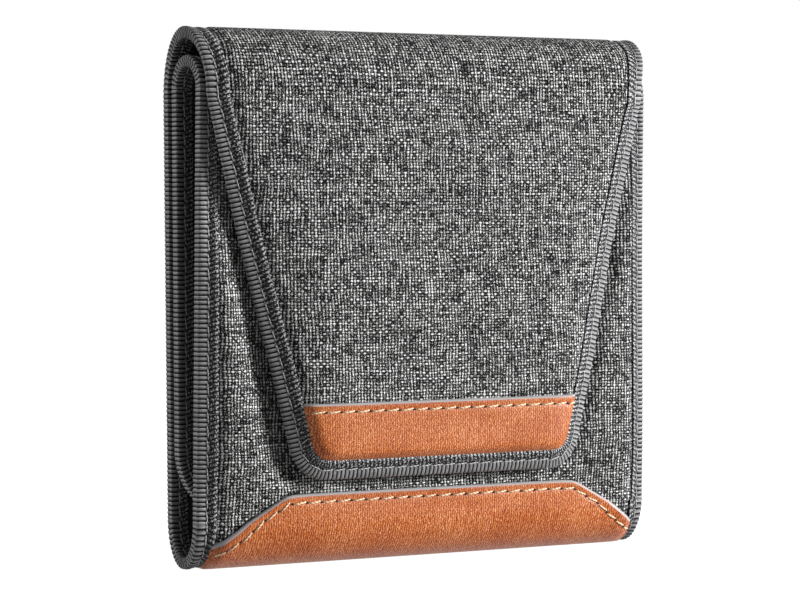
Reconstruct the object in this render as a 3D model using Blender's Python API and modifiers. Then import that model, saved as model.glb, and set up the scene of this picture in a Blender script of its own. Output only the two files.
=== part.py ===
"""Lens filter case: a padded cloth strip that rolls up into a flat case.

The strip is, from one end to the other, flap, top fold, back panel, bottom fold, front panel,
inner fold and inner panel. Each panel is a laminate of outer cloth, foam and lining inside an edge
binding, and each carries a filter pocket on its lining side, except the flap.
X runs along the width, -Y is the front, +Z is up. The case stands closed on its bottom fold.
"""

import math

import bmesh
import bpy
from mathutils import Vector

MM = 0.001

# Whole case, standing closed
case_width = 132 * MM
case_height = 136 * MM
bottom_flat_depth = 0.5 * MM

# Materials' thicknesses, and the gap between pieces that touch
cloth_thickness = 0.5 * MM
lining_thickness = 0.3 * MM
foam_thickness = 1.0 * MM
flap_foam_thickness = 0.8 * MM
leather_thickness = 1.0 * MM
tape_thickness = 0.5 * MM
webbing_thickness = 1.2 * MM
contact_gap = 0.3 * MM
cloth_clearance = 0.6 * MM

# Edge binding, a ribbed tape folded round every edge
binding_thickness = 0.7 * MM
binding_face_width = 4.8 * MM

# Where the laminate's middle runs at the edges, at the ends of the panels
fold_top_of_bottom = 12 * MM
fold_base_of_top = 119 * MM
fold_base_of_inner = 120.4 * MM
bottom_fold_half_depth = 7.6 * MM
top_fold_half_depth = 11.3 * MM
top_fold_middle = -1.8 * MM
inner_fold_half_depth = 7.1 * MM
inner_fold_height = 6.9 * MM
inner_fold_middle = -2.7 * MM
inner_panel_lean = 1.4 * MM

# Faces of the plumper middle of the panels
front_face_depth = 11.7 * MM
pocket_room = 4.3 * MM

# Flap
flap_top_inset = 1.6 * MM
flap_half_width_bottom = 40.6 * MM
flap_tip_height = 21.9 * MM
flap_corner_radius = 10 * MM
flap_clearance = 0.35 * MM
flap_drop_end = 80 * MM
flap_crossing = 102 * MM

# Inner panel
inner_tip_height = 11.5 * MM
inner_corner_radius = 18 * MM

# Leather
patch_height = 14 * MM
patch_corner_radius = 5 * MM
trim_height = 18.6 * MM
trim_half_width = 41.2 * MM
trim_end_height = 6.5 * MM

# Hook and loop tapes of the closure
closure_width = 60 * MM
closure_height = 20 * MM
closure_middle = 39 * MM

# Filter pockets
pocket_seam_inset = 8 * MM
pocket_rise = 16 * MM
pocket_lower_end = 24 * MM
pocket_upper_end = 102 * MM
mouth_tape_width = 8 * MM
mouth_tape_thickness = 0.8 * MM

# Belt loop
loop_width = 38 * MM
loop_lower_end = 42 * MM
loop_upper_end = 108 * MM
loop_sewn_length = 12 * MM
loop_rise_length = 8 * MM
loop_room = 4.5 * MM

# How far the plump middle of each panel takes to swell from the edge
swell_start = 6 * MM
front_swell_start = 2 * MM
front_swell_width = 34 * MM
panel_swell_width = 20 * MM
inner_swell_width = 14 * MM
end_swell_length = 15 * MM
front_swell_power = 1.4
front_bottom_swell_share = 0.75
back_bottom_swell_share = 0.5

# Worked out from the sizes above
half_width = case_width / 2
flap_half_width_top = half_width - flap_top_inset
half_laminate = cloth_thickness
binding_half = half_laminate + contact_gap + binding_thickness
binding_middle = binding_half - binding_thickness / 2
sheet_inset = binding_half
front_top_edge = inner_fold_half_depth - inner_fold_middle
back_top_edge = top_fold_half_depth + top_fold_middle
inner_top_edge = inner_fold_half_depth + inner_fold_middle
top_fold_height = case_height - binding_half - fold_base_of_top
bottom_fold_height = (
    fold_top_of_bottom - half_laminate - contact_gap - leather_thickness + bottom_flat_depth
)

# Where the faces lie in the plump middle, from the front face back
front_cloth_faces = (-front_face_depth, -front_face_depth + cloth_thickness)
front_lining_outer = front_cloth_faces[1] + foam_thickness + 2 * contact_gap
front_lining_faces = (front_lining_outer, front_lining_outer + lining_thickness)
front_pocket_outer = front_lining_faces[1] + pocket_room
front_pocket_faces = (front_pocket_outer, front_pocket_outer + lining_thickness)
inner_pocket_inner = front_pocket_faces[1] + cloth_clearance
inner_pocket_faces = (inner_pocket_inner, inner_pocket_inner + lining_thickness)
inner_lining_inner = inner_pocket_faces[1] + pocket_room
inner_lining_faces = (inner_lining_inner, inner_lining_inner + lining_thickness)
inner_cloth_inner = inner_lining_faces[1] + contact_gap
inner_cloth_faces = (inner_cloth_inner, inner_cloth_inner + cloth_thickness)
back_pocket_inner = inner_cloth_faces[1] + cloth_clearance
back_pocket_faces = (back_pocket_inner, back_pocket_inner + lining_thickness)
back_lining_inner = back_pocket_faces[1] + pocket_room
back_lining_faces = (back_lining_inner, back_lining_inner + lining_thickness)
back_cloth_inner = back_lining_faces[1] + foam_thickness + 2 * contact_gap
back_cloth_faces = (back_cloth_inner, back_cloth_inner + cloth_thickness)
loop_faces = (
    back_cloth_faces[1] + loop_room,
    back_cloth_faces[1] + loop_room + webbing_thickness,
)
closure_stack = 3 * contact_gap + 2 * tape_thickness
closure_clearance = closure_stack + contact_gap + lining_thickness - binding_half
crossing_clearance = binding_half - cloth_thickness + contact_gap
patch_outer = (
    -front_face_depth
    - closure_clearance
    - binding_half
    - cloth_thickness
    - contact_gap
    - leather_thickness
)
depth_shift = -(loop_faces[1] + patch_outer) / 2

# Where the foam ends, as shares of the swell's length there
foam_end_share = 1 / 2
front_foam_top_share = 2 / 3
flap_foam_side_share = 2 / 3

# Where the grids that the sheets start from have their lines, as shares
column_shares = (
    -1, -0.92, -0.84, -0.75, -0.66, -0.56, -0.45, 0.45, 0.56, 0.66, 0.75, 0.84, 0.92, 1,
)
foam_column_shares = (-1, -0.85, -0.7, 0.7, 0.85, 1)
flap_column_shares = (-1, -0.9, -0.75, -0.6, -0.45, 0.45, 0.6, 0.75, 0.9, 1)
trim_column_shares = (-1, -0.88, -0.78, -0.6, 0.6, 0.78, 0.88, 1)
pocket_column_shares = (-1, -0.91, -0.81, -0.72, 0.72, 0.81, 0.91, 1)
tape_column_shares = (-1, -0.5, 0.5, 1)
side_shares = (-1, 1)
row_shares = (0, 0.04, 0.08, 0.14, 0.2, 0.5, 0.8, 0.86, 0.93, 1)
pocket_row_shares = (0, 0.07, 0.15, 0.23, 0.6, 1)
plain_shares = (0, 0.5, 1)
end_shares = (0, 1)
quarter_shares = (0, 0.25, 0.5, 0.75, 1)
level_shares = (0.3, 0.6)
corner_turn_shares = (0, 0.25, 0.5, 0.75, 0.9, 1)

# How finely the rounded forms are stepped
fold_steps = 14
corner_steps = 6
profile_steps = 4
loop_steps = 6
crease_degrees = 40
fold_shares = tuple(step / fold_steps for step in range(fold_steps + 1))

collection_name = "lens_filter_case"

colours = {
    "outer_cloth": (0.075, 0.075, 0.078, 0.95),
    "lining": (0.012, 0.012, 0.013, 0.85),
    "foam": (0.03, 0.03, 0.03, 0.95),
    "binding": (0.06, 0.06, 0.064, 0.7),
    "leather": (0.47, 0.13, 0.035, 0.5),
    "hook_and_loop": (0.01, 0.01, 0.01, 0.9),
    "webbing": (0.02, 0.02, 0.021, 0.8),
    "elastic": (0.025, 0.025, 0.026, 0.8),
}


def clear_scene():
    for obj in list(bpy.data.objects):
        bpy.data.objects.remove(obj, do_unlink=True)


def material(name, slot):
    """The Principled material of one piece, in the colour of its kind of cloth or leather."""
    red, green, blue, rough = colours[slot]
    made = bpy.data.materials.new(name + "_" + slot)
    made.use_nodes = True
    shader = made.node_tree.nodes["Principled BSDF"]
    shader.inputs["Base Color"].default_value = (red, green, blue, 1)
    shader.inputs["Roughness"].default_value = rough
    return made


def mix(share, low, high):
    return low + (high - low) * share


def smooth(share):
    """0 to 1 with flat ends."""
    share = min(max(share, 0), 1)
    return share * share * (3 - 2 * share)


def place(x, y, z):
    return Vector((x, y + depth_shift, z))


# Edge lines: where the laminate's middle runs at the sides of each panel


def panel_share(z, base):
    return (z - fold_top_of_bottom) / (base - fold_top_of_bottom)


def back_edge(z):
    return mix(panel_share(z, fold_base_of_top), bottom_fold_half_depth, back_top_edge)


def front_edge(z):
    return -mix(panel_share(z, fold_base_of_inner), bottom_fold_half_depth, front_top_edge)


def inner_edge(z):
    return inner_top_edge - inner_panel_lean * (1 - panel_share(z, fold_base_of_inner))


# How plump each panel is at a place, from 0 at its edge to 1 in its middle


def side_distance(x):
    return half_width - abs(x)


def end_swell(z, base, bottom_share):
    from_bottom = mix(smooth((z - fold_top_of_bottom) / end_swell_length), bottom_share, 1)
    return from_bottom * smooth((base - z) / end_swell_length)


def front_swell(x, z):
    across = smooth((side_distance(x) - front_swell_start) / front_swell_width)
    return across**front_swell_power * end_swell(z, fold_base_of_inner, front_bottom_swell_share)


def front_lining_swell(x, z):
    across = smooth((side_distance(x) - swell_start) / panel_swell_width)
    return across * end_swell(z, fold_base_of_inner, front_bottom_swell_share)


def back_swell(x, z):
    across = smooth((side_distance(x) - swell_start) / panel_swell_width)
    return across * end_swell(z, fold_base_of_top, back_bottom_swell_share)


def inner_swell(x, z):
    across = smooth((side_distance(x) - swell_start) / inner_swell_width)
    from_tip = smooth((z - inner_tip_height - swell_start) / end_swell_length)
    return across * from_tip * smooth((fold_base_of_inner - z) / end_swell_length)


# Faces of the layers, each as y over (x, z)


def front_cloth(x, z, face):
    edge = front_edge(z) - (cloth_thickness, 0)[face]
    return mix(front_swell(x, z), edge, front_cloth_faces[face])


def front_lining(x, z, face):
    edge = front_edge(z) + (contact_gap, contact_gap + lining_thickness)[face]
    return mix(front_lining_swell(x, z), edge, front_lining_faces[face])


def back_cloth(x, z, face):
    edge = back_edge(z) + (0, cloth_thickness)[face]
    return mix(back_swell(x, z), edge, back_cloth_faces[face])


def back_lining(x, z, face):
    edge = back_edge(z) - (contact_gap + lining_thickness, contact_gap)[face]
    return mix(back_swell(x, z), edge, back_lining_faces[face])


def inner_cloth(x, z, face):
    edge = inner_edge(z) + (0, cloth_thickness)[face]
    return mix(inner_swell(x, z), edge, inner_cloth_faces[face])


def inner_lining(x, z, face):
    edge = inner_edge(z) - (contact_gap + lining_thickness, contact_gap)[face]
    return mix(inner_swell(x, z), edge, inner_lining_faces[face])


def closure_share(z):
    """1 at the flap's tip, where the closure's tapes lie under it, and 0 above them."""
    return 1 - smooth((z - closure_top - contact_gap) / end_swell_length)


def flap_edge(x, z):
    """The flap lies on the front panel, so its middle follows that panel's face. At its top it also
    clears the front panel's bindings, and at its tip the closure's tapes."""
    clearance = mix(closure_share(z), flap_clearance, closure_clearance)
    crossing = smooth((z - flap_drop_end) / (flap_crossing - flap_drop_end))
    return front_cloth(x, z, 0) - mix(crossing, clearance, crossing_clearance) - binding_half


# Outlines of the tapered flap and of the inner panel


class Outline:
    """A panel's half width by height: straight sides that may taper, and rounded lower corners. levels
    are the heights of the rows that its layers and its binding share above the corners."""

    def __init__(self, top, base, half_top, half_bottom, radius, levels):
        self.top, self.base, self.radius = top, base, radius
        self.half_top = half_top
        self.taper = (half_top - half_bottom) / (top - base)
        self.tilt = math.atan(self.taper)
        self.corner_z = base + radius
        straight = half_bottom + self.taper * radius
        self.corner_x = straight - radius / math.cos(self.tilt)
        self.levels = levels

    def half(self, z, inset):
        side = self.half_top - self.taper * (self.top - z) - inset / math.cos(self.tilt)
        reach = self.radius - inset
        turn = self.corner_z - reach * math.sin(self.tilt)
        if z >= turn:
            return side
        rise = min(max((self.corner_z - z) / reach, -1), 1)
        return self.corner_x + reach * math.sqrt(1 - rise * rise)

    def heights(self, inset):
        """Row heights from the tip up, close together round the corner."""
        reach = self.radius - inset
        low = [
            self.corner_z - reach * math.cos(share * (math.pi / 2 - self.tilt))
            for share in corner_turn_shares
        ]
        return low + list(self.levels) + [self.top - contact_gap / 2]

    def side_distance(self, x, z):
        return self.half_top - self.taper * (self.top - z) - abs(x)

    def path(self, steps):
        """Points down the left side, round the tip and up the right, each with the way inward."""
        lean = Vector((math.cos(self.tilt), -math.sin(self.tilt)))
        top = self.top - contact_gap / 2
        right = [(Vector((self.half(top, 0), top)), Vector((-1 / math.cos(self.tilt), 0)))]
        right += [(Vector((self.half(z, 0), z)), -lean) for z in reversed(self.levels)]
        for step in range(steps + 1):
            angle = mix(step / steps, -self.tilt, -math.pi / 2)
            out = Vector((math.cos(angle), math.sin(angle)))
            right.append((Vector((self.corner_x, self.corner_z)) + out * self.radius, -out))
        left = [(Vector((-p.x, p.y)), Vector((-w.x, w.y))) for p, w in right]
        return left + right[::-1]


closure_top = closure_middle + closure_height / 2
flap_levels = [closure_top + contact_gap + share * end_swell_length for share in quarter_shares]
flap_levels += [mix(share, flap_drop_end, flap_crossing) for share in quarter_shares]
flap_levels += [
    fold_base_of_top - end_swell_length * (1 - share) for share in quarter_shares[1:-1]
]
flap_outline = Outline(
    fold_base_of_top,
    flap_tip_height,
    flap_half_width_top,
    flap_half_width_bottom,
    flap_corner_radius,
    flap_levels,
)
inner_levels = [
    inner_tip_height + inner_corner_radius + end_swell_length * share for share in level_shares
]
inner_levels += [
    fold_base_of_inner - end_swell_length * (1 - share) for share in quarter_shares[:-1]
]
inner_outline = Outline(
    fold_base_of_inner, inner_tip_height, half_width, half_width, inner_corner_radius, inner_levels
)


def flap_swell(x, z):
    across = smooth((flap_outline.side_distance(x, z) - swell_start) / inner_swell_width)
    from_tip = smooth((z - flap_tip_height - swell_start) / swell_start)
    return across * from_tip * smooth((fold_base_of_top - z) / end_swell_length)


def flap_lining(x, z, face):
    return flap_edge(x, z) + (contact_gap, contact_gap + lining_thickness)[face]


def flap_cloth(x, z, face):
    foam = (flap_foam_thickness + contact_gap) * (1 - closure_share(z)) * flap_swell(x, z)
    return flap_edge(x, z) - foam - (cloth_thickness, 0)[face]


# Folds: half ellipses that the laminate's middle follows, from the back leg round to the front


class Fold:
    def __init__(self, middle, base, half_depth, height):
        self.middle, self.base = middle, base
        self.half_depth, self.height = half_depth, height

    def at(self, turn_share, offset):
        """(y, z) at a share of the half turn, moved outward by offset."""
        angle = math.pi * turn_share
        y, z = math.cos(angle), math.sin(angle)
        normal = Vector((y / self.half_depth, z / self.height)).normalized()
        spot = Vector((y * self.half_depth, z * self.height)) + normal * offset
        return self.middle + spot.x, self.base + spot.y

    def length(self):
        wide, tall = abs(self.half_depth), abs(self.height)
        unlike = ((wide - tall) / (wide + tall)) ** 2
        return math.pi / 2 * (wide + tall) * (1 + unlike / 4)

    def hinges(self):
        """The two hinges of a quarter turn each that bring the legs into one line."""
        half = self.length() / 2
        wide, tall = self.half_depth, abs(self.height)
        out = (half + wide - tall) / 2
        along = math.copysign((half - wide + tall) / 2, self.height)
        return (self.middle + out, self.base + along), (self.middle - out, self.base + along)


top_fold = Fold(top_fold_middle, fold_base_of_top, top_fold_half_depth, top_fold_height)
bottom_fold = Fold(0, fold_top_of_bottom, bottom_fold_half_depth, -bottom_fold_height)
inner_fold = Fold(inner_fold_middle, fold_base_of_inner, inner_fold_half_depth, inner_fold_height)


# Shaping


def finish_object(name, mesh, slot, hinge=None):
    mesh.materials.append(material(name, slot))
    obj = bpy.data.objects.new(name, mesh)
    bpy.data.collections[collection_name].objects.link(obj)
    if hinge is not None:
        obj.parent = hinge
        obj.matrix_parent_inverse = hinge.matrix_world.inverted()
    return obj


def sheet(name, columns, rows, near, far, slot, hinge=None):
    """A grid shaped to one face, extruded, with the copy shaped to the other face. near and far turn a
    column's and a row's value into a point."""
    shape = bmesh.new()
    bmesh.ops.create_grid(
        shape, x_segments=len(columns) - 1, y_segments=len(rows) - 1, size=1
    )
    made = bmesh.ops.extrude_face_region(shape, geom=shape.faces[:])
    copies = {item for item in made["geom"] if isinstance(item, bmesh.types.BMVert)}
    for vertex in shape.verts:
        column = columns[round((vertex.co.x + 1) / 2 * (len(columns) - 1))]
        row = rows[round((vertex.co.y + 1) / 2 * (len(rows) - 1))]
        vertex.co = (far if vertex in copies else near)(column, row)
    bmesh.ops.recalc_face_normals(shape, faces=shape.faces[:])
    if shape.calc_volume(signed=True) < 0:
        bmesh.ops.reverse_faces(shape, faces=shape.faces[:])
    mesh = bpy.data.meshes.new(name)
    shape.to_mesh(mesh)
    shape.free()
    mesh.shade_smooth()
    mesh.set_sharp_from_angle(angle=math.radians(crease_degrees))
    return finish_object(name, mesh, slot, hinge)


def binding_profile():
    """The tape's middle line round an edge: inward distance and offset from the laminate's middle."""
    middle = binding_middle
    start = binding_thickness / 2
    turned = [
        (start + middle - middle * math.sin(turn), middle * math.cos(turn))
        for turn in (math.pi * step / profile_steps for step in range(profile_steps + 1))
    ]
    return [(binding_face_width, middle)] + turned + [(binding_face_width, -middle)]


def binding(name, stations, hinge=None):
    """A grid laid along the edge and across the tape's profile, thickened by Solidify. Each station
    turns a profile point into a place."""
    profile = binding_profile()
    shape = bmesh.new()
    bmesh.ops.create_grid(
        shape, x_segments=len(profile) - 1, y_segments=len(stations) - 1, size=1
    )
    for vertex in shape.verts:
        inward, offset = profile[round((vertex.co.x + 1) / 2 * (len(profile) - 1))]
        station = stations[round((vertex.co.y + 1) / 2 * (len(stations) - 1))]
        vertex.co = station(inward, offset)
    mesh = bpy.data.meshes.new(name)
    shape.to_mesh(mesh)
    shape.free()
    mesh.shade_smooth()
    obj = finish_object(name, mesh, "binding", hinge)
    wall = obj.modifiers.new("tape_thickness", "SOLIDIFY")
    wall.thickness = binding_thickness
    wall.offset = 0
    wall.use_even_offset = True
    return obj


def hinge_empty(name, spot, parent=None):
    empty = bpy.data.objects.new(name, None)
    bpy.data.collections[collection_name].objects.link(empty)
    empty.empty_display_size = fold_top_of_bottom
    empty.location = place(0, *spot)
    bpy.context.view_layer.update()
    if parent is not None:
        empty.parent = parent
        empty.matrix_parent_inverse = parent.matrix_world.inverted()
    bpy.context.view_layer.update()
    return empty


def spread(shares, low, high):
    return [mix(share, low, high) for share in shares]


def panel_sheet(
    name, face_at, low, high, reach, slot, hinge=None, columns=column_shares, rows=row_shares
):
    """A rectangular layer of a panel between two heights, reaching as far to each side."""
    return sheet(
        name,
        columns,
        spread(rows, low, high),
        lambda share, z: place(share * reach, face_at(share * reach, z, 0), z),
        lambda share, z: place(share * reach, face_at(share * reach, z, 1), z),
        slot,
        hinge,
    )


def shaped_sheet(name, face_at, outline, inset, slot, hinge, columns):
    """A layer that fills an outline with rounded lower corners."""
    rows = outline.heights(inset)
    return sheet(
        name,
        columns,
        rows,
        lambda share, z: place(
            share * outline.half(z, inset), face_at(share * outline.half(z, inset), z, 0), z
        ),
        lambda share, z: place(
            share * outline.half(z, inset), face_at(share * outline.half(z, inset), z, 1), z
        ),
        slot,
        hinge,
    )


def between(outer, inner):
    """Foam fills what the cloth and the lining leave, less a gap on both sides."""

    def face_at(x, z, face):
        if face == 0:
            return outer(x, z) + contact_gap
        return inner(x, z) - contact_gap

    return face_at


def straight_binding(name, side, edge_at, low, high, hinge=None):
    """The binding of a panel's straight side edge. sign turns the offset outward on that panel."""

    def station(z):
        return lambda inward, offset: place(
            side * (half_width - inward), edge_at(z) + offset, z
        )

    heights = spread(plain_shares, low + contact_gap / 2, high - contact_gap / 2)
    return binding(name, [station(z) for z in heights], hinge)


def round_binding(name, outline, edge_at, hinge):
    """The binding round a panel's sides and tip."""

    def station(spot, way):
        def at(inward, offset):
            flat = spot + way * inward
            return place(flat.x, edge_at(flat.x, flat.y) + offset, flat.y)

        return at

    return binding(name, [station(*item) for item in outline.path(corner_steps)], hinge)


# Folds


def fold_layer(name, fold, near, far, ends, slot, hinge, columns, reach):
    """A layer that runs round a fold. near and far are offsets from the laminate's middle, and ends
    gives the offsets of the panels' own faces where the fold meets them, or None."""

    def face(offset, which):
        def at(share, turn):
            x = share * reach
            swelled = offset
            if ends is not None:
                leg = ends[0] if turn < 0.5 else ends[1]
                swelled += (leg(x, which) - offset) * math.cos(math.pi * turn) ** 2
            y, z = fold.at(turn, swelled)
            return place(x, y, max(z, 0))

        return at

    gap_share = contact_gap / 2 / fold.length()
    rows = [mix(share, gap_share, 1 - gap_share) for share in fold_shares]
    return sheet(name, columns, rows, face(near, 0), face(far, 1), slot, hinge)


def fold_binding(name, side, fold, hinge, inset_at=lambda turn: 0):
    def station(turn):
        def at(inward, offset):
            y, z = fold.at(turn, offset)
            z = max(z, binding_thickness / 2)
            return place(side * (half_width - inward - inset_at(turn)), y, z)

        return at

    gap_share = contact_gap / 2 / fold.length()
    turns = [mix(share, gap_share, 1 - gap_share) for share in fold_shares]
    return binding(name, [station(turn) for turn in turns], hinge)


def top_fold_inset(turn):
    """The flap starts to taper on the fold's front."""
    return flap_top_inset * smooth((turn - 0.5) / 0.5)


def build_top_fold(hinge):
    outer = half_laminate

    def layer(name, near, far, slot):
        def face(offset):
            def at(side, turn):
                y, z = top_fold.at(turn, offset)
                return place(side * (half_width - sheet_inset - top_fold_inset(turn)), y, z)

            return at

        gap_share = contact_gap / 2 / top_fold.length()
        rows = [mix(share, gap_share, 1 - gap_share) for share in fold_shares]
        sheet(name, side_shares, rows, face(near), face(far), slot, hinge)

    layer("top_fold_cloth", outer, outer - cloth_thickness, "outer_cloth")
    layer("top_fold_lining", -contact_gap, -contact_gap - lining_thickness, "lining")
    fold_binding("top_fold_binding_left", -1, top_fold, hinge, top_fold_inset)
    fold_binding("top_fold_binding_right", 1, top_fold, hinge, top_fold_inset)


def build_inner_fold(hinge):
    reach = half_width - sheet_inset
    outer = half_laminate
    fold_layer(
        "inner_fold_cloth",
        inner_fold,
        outer,
        outer - cloth_thickness,
        None,
        "outer_cloth",
        hinge,
        side_shares,
        reach,
    )
    fold_layer(
        "inner_fold_lining",
        inner_fold,
        -contact_gap,
        -contact_gap - lining_thickness,
        None,
        "lining",
        hinge,
        side_shares,
        reach,
    )
    fold_binding("inner_fold_binding_left", -1, inner_fold, hinge)
    fold_binding("inner_fold_binding_right", 1, inner_fold, hinge)


def trim_faces():
    """The leather's inner and outer offsets from the laminate's middle."""
    inner = half_laminate + contact_gap
    return inner + leather_thickness, inner


def cloth_ends(extra):
    """The panels' outer cloth where the bottom fold meets them, as offsets from the edge line."""
    z = fold_top_of_bottom

    def back(x, which):
        face = (1, 0)[which] if extra is None else 1
        add = 0 if extra is None else extra[which]
        return back_cloth(x, z, face) - back_edge(z) + add

    def front(x, which):
        face = (0, 1)[which] if extra is None else 0
        add = 0 if extra is None else extra[which]
        return front_edge(z) - front_cloth(x, z, face) + add

    return back, front


def lining_ends():
    z = fold_top_of_bottom

    def back(x, which):
        return back_lining(x, z, (1, 0)[which]) - back_edge(z)

    def front(x, which):
        return front_edge(z) - front_lining(x, z, (0, 1)[which])

    return back, front


def trim_top(x):
    """The trim's upper edge: level in the middle, sloping down to both sides."""
    end = half_width - binding_face_width
    slope = (trim_height - trim_end_height) / (end - trim_half_width)
    return trim_height - slope * max(abs(x) - trim_half_width, 0)


def trim_reach_on_panel():
    """How far to each side the trim's upper edge is still above the fold."""
    end = half_width - binding_face_width
    slope = (trim_height - trim_end_height) / (end - trim_half_width)
    return trim_half_width + (trim_height - fold_top_of_bottom) / slope


def trim_turn(x):
    """The share of the half turn, from either leg, at which the trim ends on the fold."""
    low = min(trim_top(x), fold_top_of_bottom)
    rise = (fold_top_of_bottom - low) / bottom_fold_height
    return math.asin(min(rise, 1)) / math.pi


def build_bottom_fold(hinge):
    reach = half_width - sheet_inset
    outer = half_laminate
    fold_layer(
        "bottom_fold_cloth",
        bottom_fold,
        outer,
        outer - cloth_thickness,
        cloth_ends(None),
        "outer_cloth",
        hinge,
        column_shares,
        reach,
    )
    fold_layer(
        "bottom_fold_lining",
        bottom_fold,
        -contact_gap,
        -contact_gap - lining_thickness,
        lining_ends(),
        "lining",
        hinge,
        column_shares,
        reach,
    )
    build_trim_fold(hinge)
    fold_binding("bottom_fold_binding_left", -1, bottom_fold, hinge)
    fold_binding("bottom_fold_binding_right", 1, bottom_fold, hinge)


def build_trim_fold(hinge):
    """The leather round the fold. Towards its sides it ends on the fold, where its edge slopes down."""
    reach = half_width - binding_face_width - contact_gap
    top, under = trim_faces()
    back, front = cloth_ends((leather_thickness + contact_gap, contact_gap))
    gap_share = contact_gap / 2 / bottom_fold.length()

    def face(offset, which):
        def at(share, turn_share):
            x = share * reach
            ends = max(trim_turn(x), gap_share)
            turn = mix(turn_share, ends, 1 - ends)
            leg = back if turn < 0.5 else front
            swelled = offset + (leg(x, which) - offset) * math.cos(math.pi * turn) ** 2
            y, z = bottom_fold.at(turn, swelled)
            return place(x, y, max(z, 0))

        return at

    sheet(
        "bottom_trim_fold", column_shares, fold_shares, face(top, 0), face(under, 1), "leather", hinge
    )


def build_trim_side(name, cloth_at, outward, hinge):
    """The leather on one panel, from the fold up to its edge."""
    reach = trim_reach_on_panel() - contact_gap
    low = fold_top_of_bottom + contact_gap / 2

    def face(lift):
        def at(share, rise):
            x = share * reach
            z = mix(rise, low, max(trim_top(x), low + contact_gap))
            return place(x, cloth_at(x, z) + outward * lift, z)

        return at

    sheet(
        name,
        trim_column_shares,
        plain_shares,
        face(contact_gap + leather_thickness),
        face(contact_gap),
        "leather",
        hinge,
    )


# Pockets


def pocket_faces(lining_face, toward, plane, mouth_up):
    """A pocket's two faces: sewn down at its sides and bottom, standing off the lining at its mouth.
    toward is the way from the lining to the pocket along y."""

    def lift(x, z):
        across = smooth((half_width - pocket_seam_inset - abs(x)) / pocket_rise)
        closed_end = z - pocket_lower_end if mouth_up else pocket_upper_end - z
        return across * smooth(closed_end / pocket_rise)

    def face_at(x, z, face):
        near_face = (0, lining_thickness)[face]
        seam = lining_face(x, z) + toward * (contact_gap + near_face)
        return mix(lift(x, z), seam, plane + toward * near_face)

    return face_at


def build_pocket(name, lining_face, toward, plane, mouth_up, hinge=None):
    reach = half_width - pocket_seam_inset
    face_at = pocket_faces(lining_face, toward, plane, mouth_up)
    low, high = pocket_lower_end, pocket_upper_end
    rows = pocket_row_shares
    if mouth_up:
        high -= mouth_tape_width
    else:
        low += mouth_tape_width
        rows = tuple(1 - share for share in reversed(rows))
    columns = pocket_column_shares
    panel_sheet(name + "_pocket", face_at, low, high, reach, "lining", hinge, columns, rows)

    def tape_at(x, z, face):
        extra = (mouth_tape_thickness - lining_thickness) * (0, 1)[face]
        return face_at(x, z, face) + toward * extra

    if mouth_up:
        tape_low, tape_high = high + contact_gap, pocket_upper_end
    else:
        tape_low, tape_high = pocket_lower_end, low - contact_gap
    panel_sheet(
        name + "_pocket_mouth_tape",
        tape_at,
        tape_low,
        tape_high,
        reach,
        "elastic",
        hinge,
        columns,
        end_shares,
    )


# Panels


def build_back():
    low = fold_top_of_bottom + contact_gap / 2
    high = fold_base_of_top - contact_gap / 2
    reach = half_width - sheet_inset
    panel_sheet("back_outer_cloth", back_cloth, low, high, reach, "outer_cloth")
    panel_sheet("back_lining", back_lining, low, high, reach, "lining")
    foam = between(lambda x, z: back_lining(x, z, 1), lambda x, z: back_cloth(x, z, 0))
    foam_reach = half_width - swell_start - foam_end_share * panel_swell_width
    foam_low = fold_top_of_bottom + foam_end_share * end_swell_length
    foam_high = fold_base_of_top - foam_end_share * end_swell_length
    panel_sheet(
        "back_foam", foam, foam_low, foam_high, foam_reach, "foam", None, foam_column_shares
    )
    straight_binding("back_binding_left", -1, back_edge, fold_top_of_bottom, fold_base_of_top)
    straight_binding("back_binding_right", 1, back_edge, fold_top_of_bottom, fold_base_of_top)
    build_pocket("back", lambda x, z: back_lining(x, z, 0), -1, back_pocket_faces[1], True)
    build_trim_side("bottom_trim_back", lambda x, z: back_cloth(x, z, 1), 1, None)
    build_belt_loop()


def build_belt_loop():
    """Webbing sewn down at both ends, standing off the back between them."""
    inner_low = back_cloth_faces[1] + contact_gap
    rise = loop_faces[0] - inner_low
    heights = [loop_lower_end, loop_lower_end + loop_sewn_length]
    heights += [
        loop_lower_end + loop_sewn_length + loop_rise_length * step / loop_steps
        for step in range(1, loop_steps + 1)
    ]
    middle = (loop_lower_end + loop_upper_end) / 2
    heights += [2 * middle - z for z in reversed(heights)]

    def face(lift):
        def at(side, z):
            from_end = min(z - loop_lower_end, loop_upper_end - z) - loop_sewn_length
            y = inner_low + rise * smooth(from_end / loop_rise_length) + lift
            return place(side * loop_width / 2, y, z)

        return at

    sheet("belt_loop", side_shares, heights, face(webbing_thickness), face(0), "webbing")


def build_closure_tape(name, face_at, hinge):
    low = closure_middle - closure_height / 2
    panel_sheet(
        name,
        face_at,
        low,
        closure_top,
        closure_width / 2,
        "hook_and_loop",
        hinge,
        tape_column_shares,
        plain_shares,
    )


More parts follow.
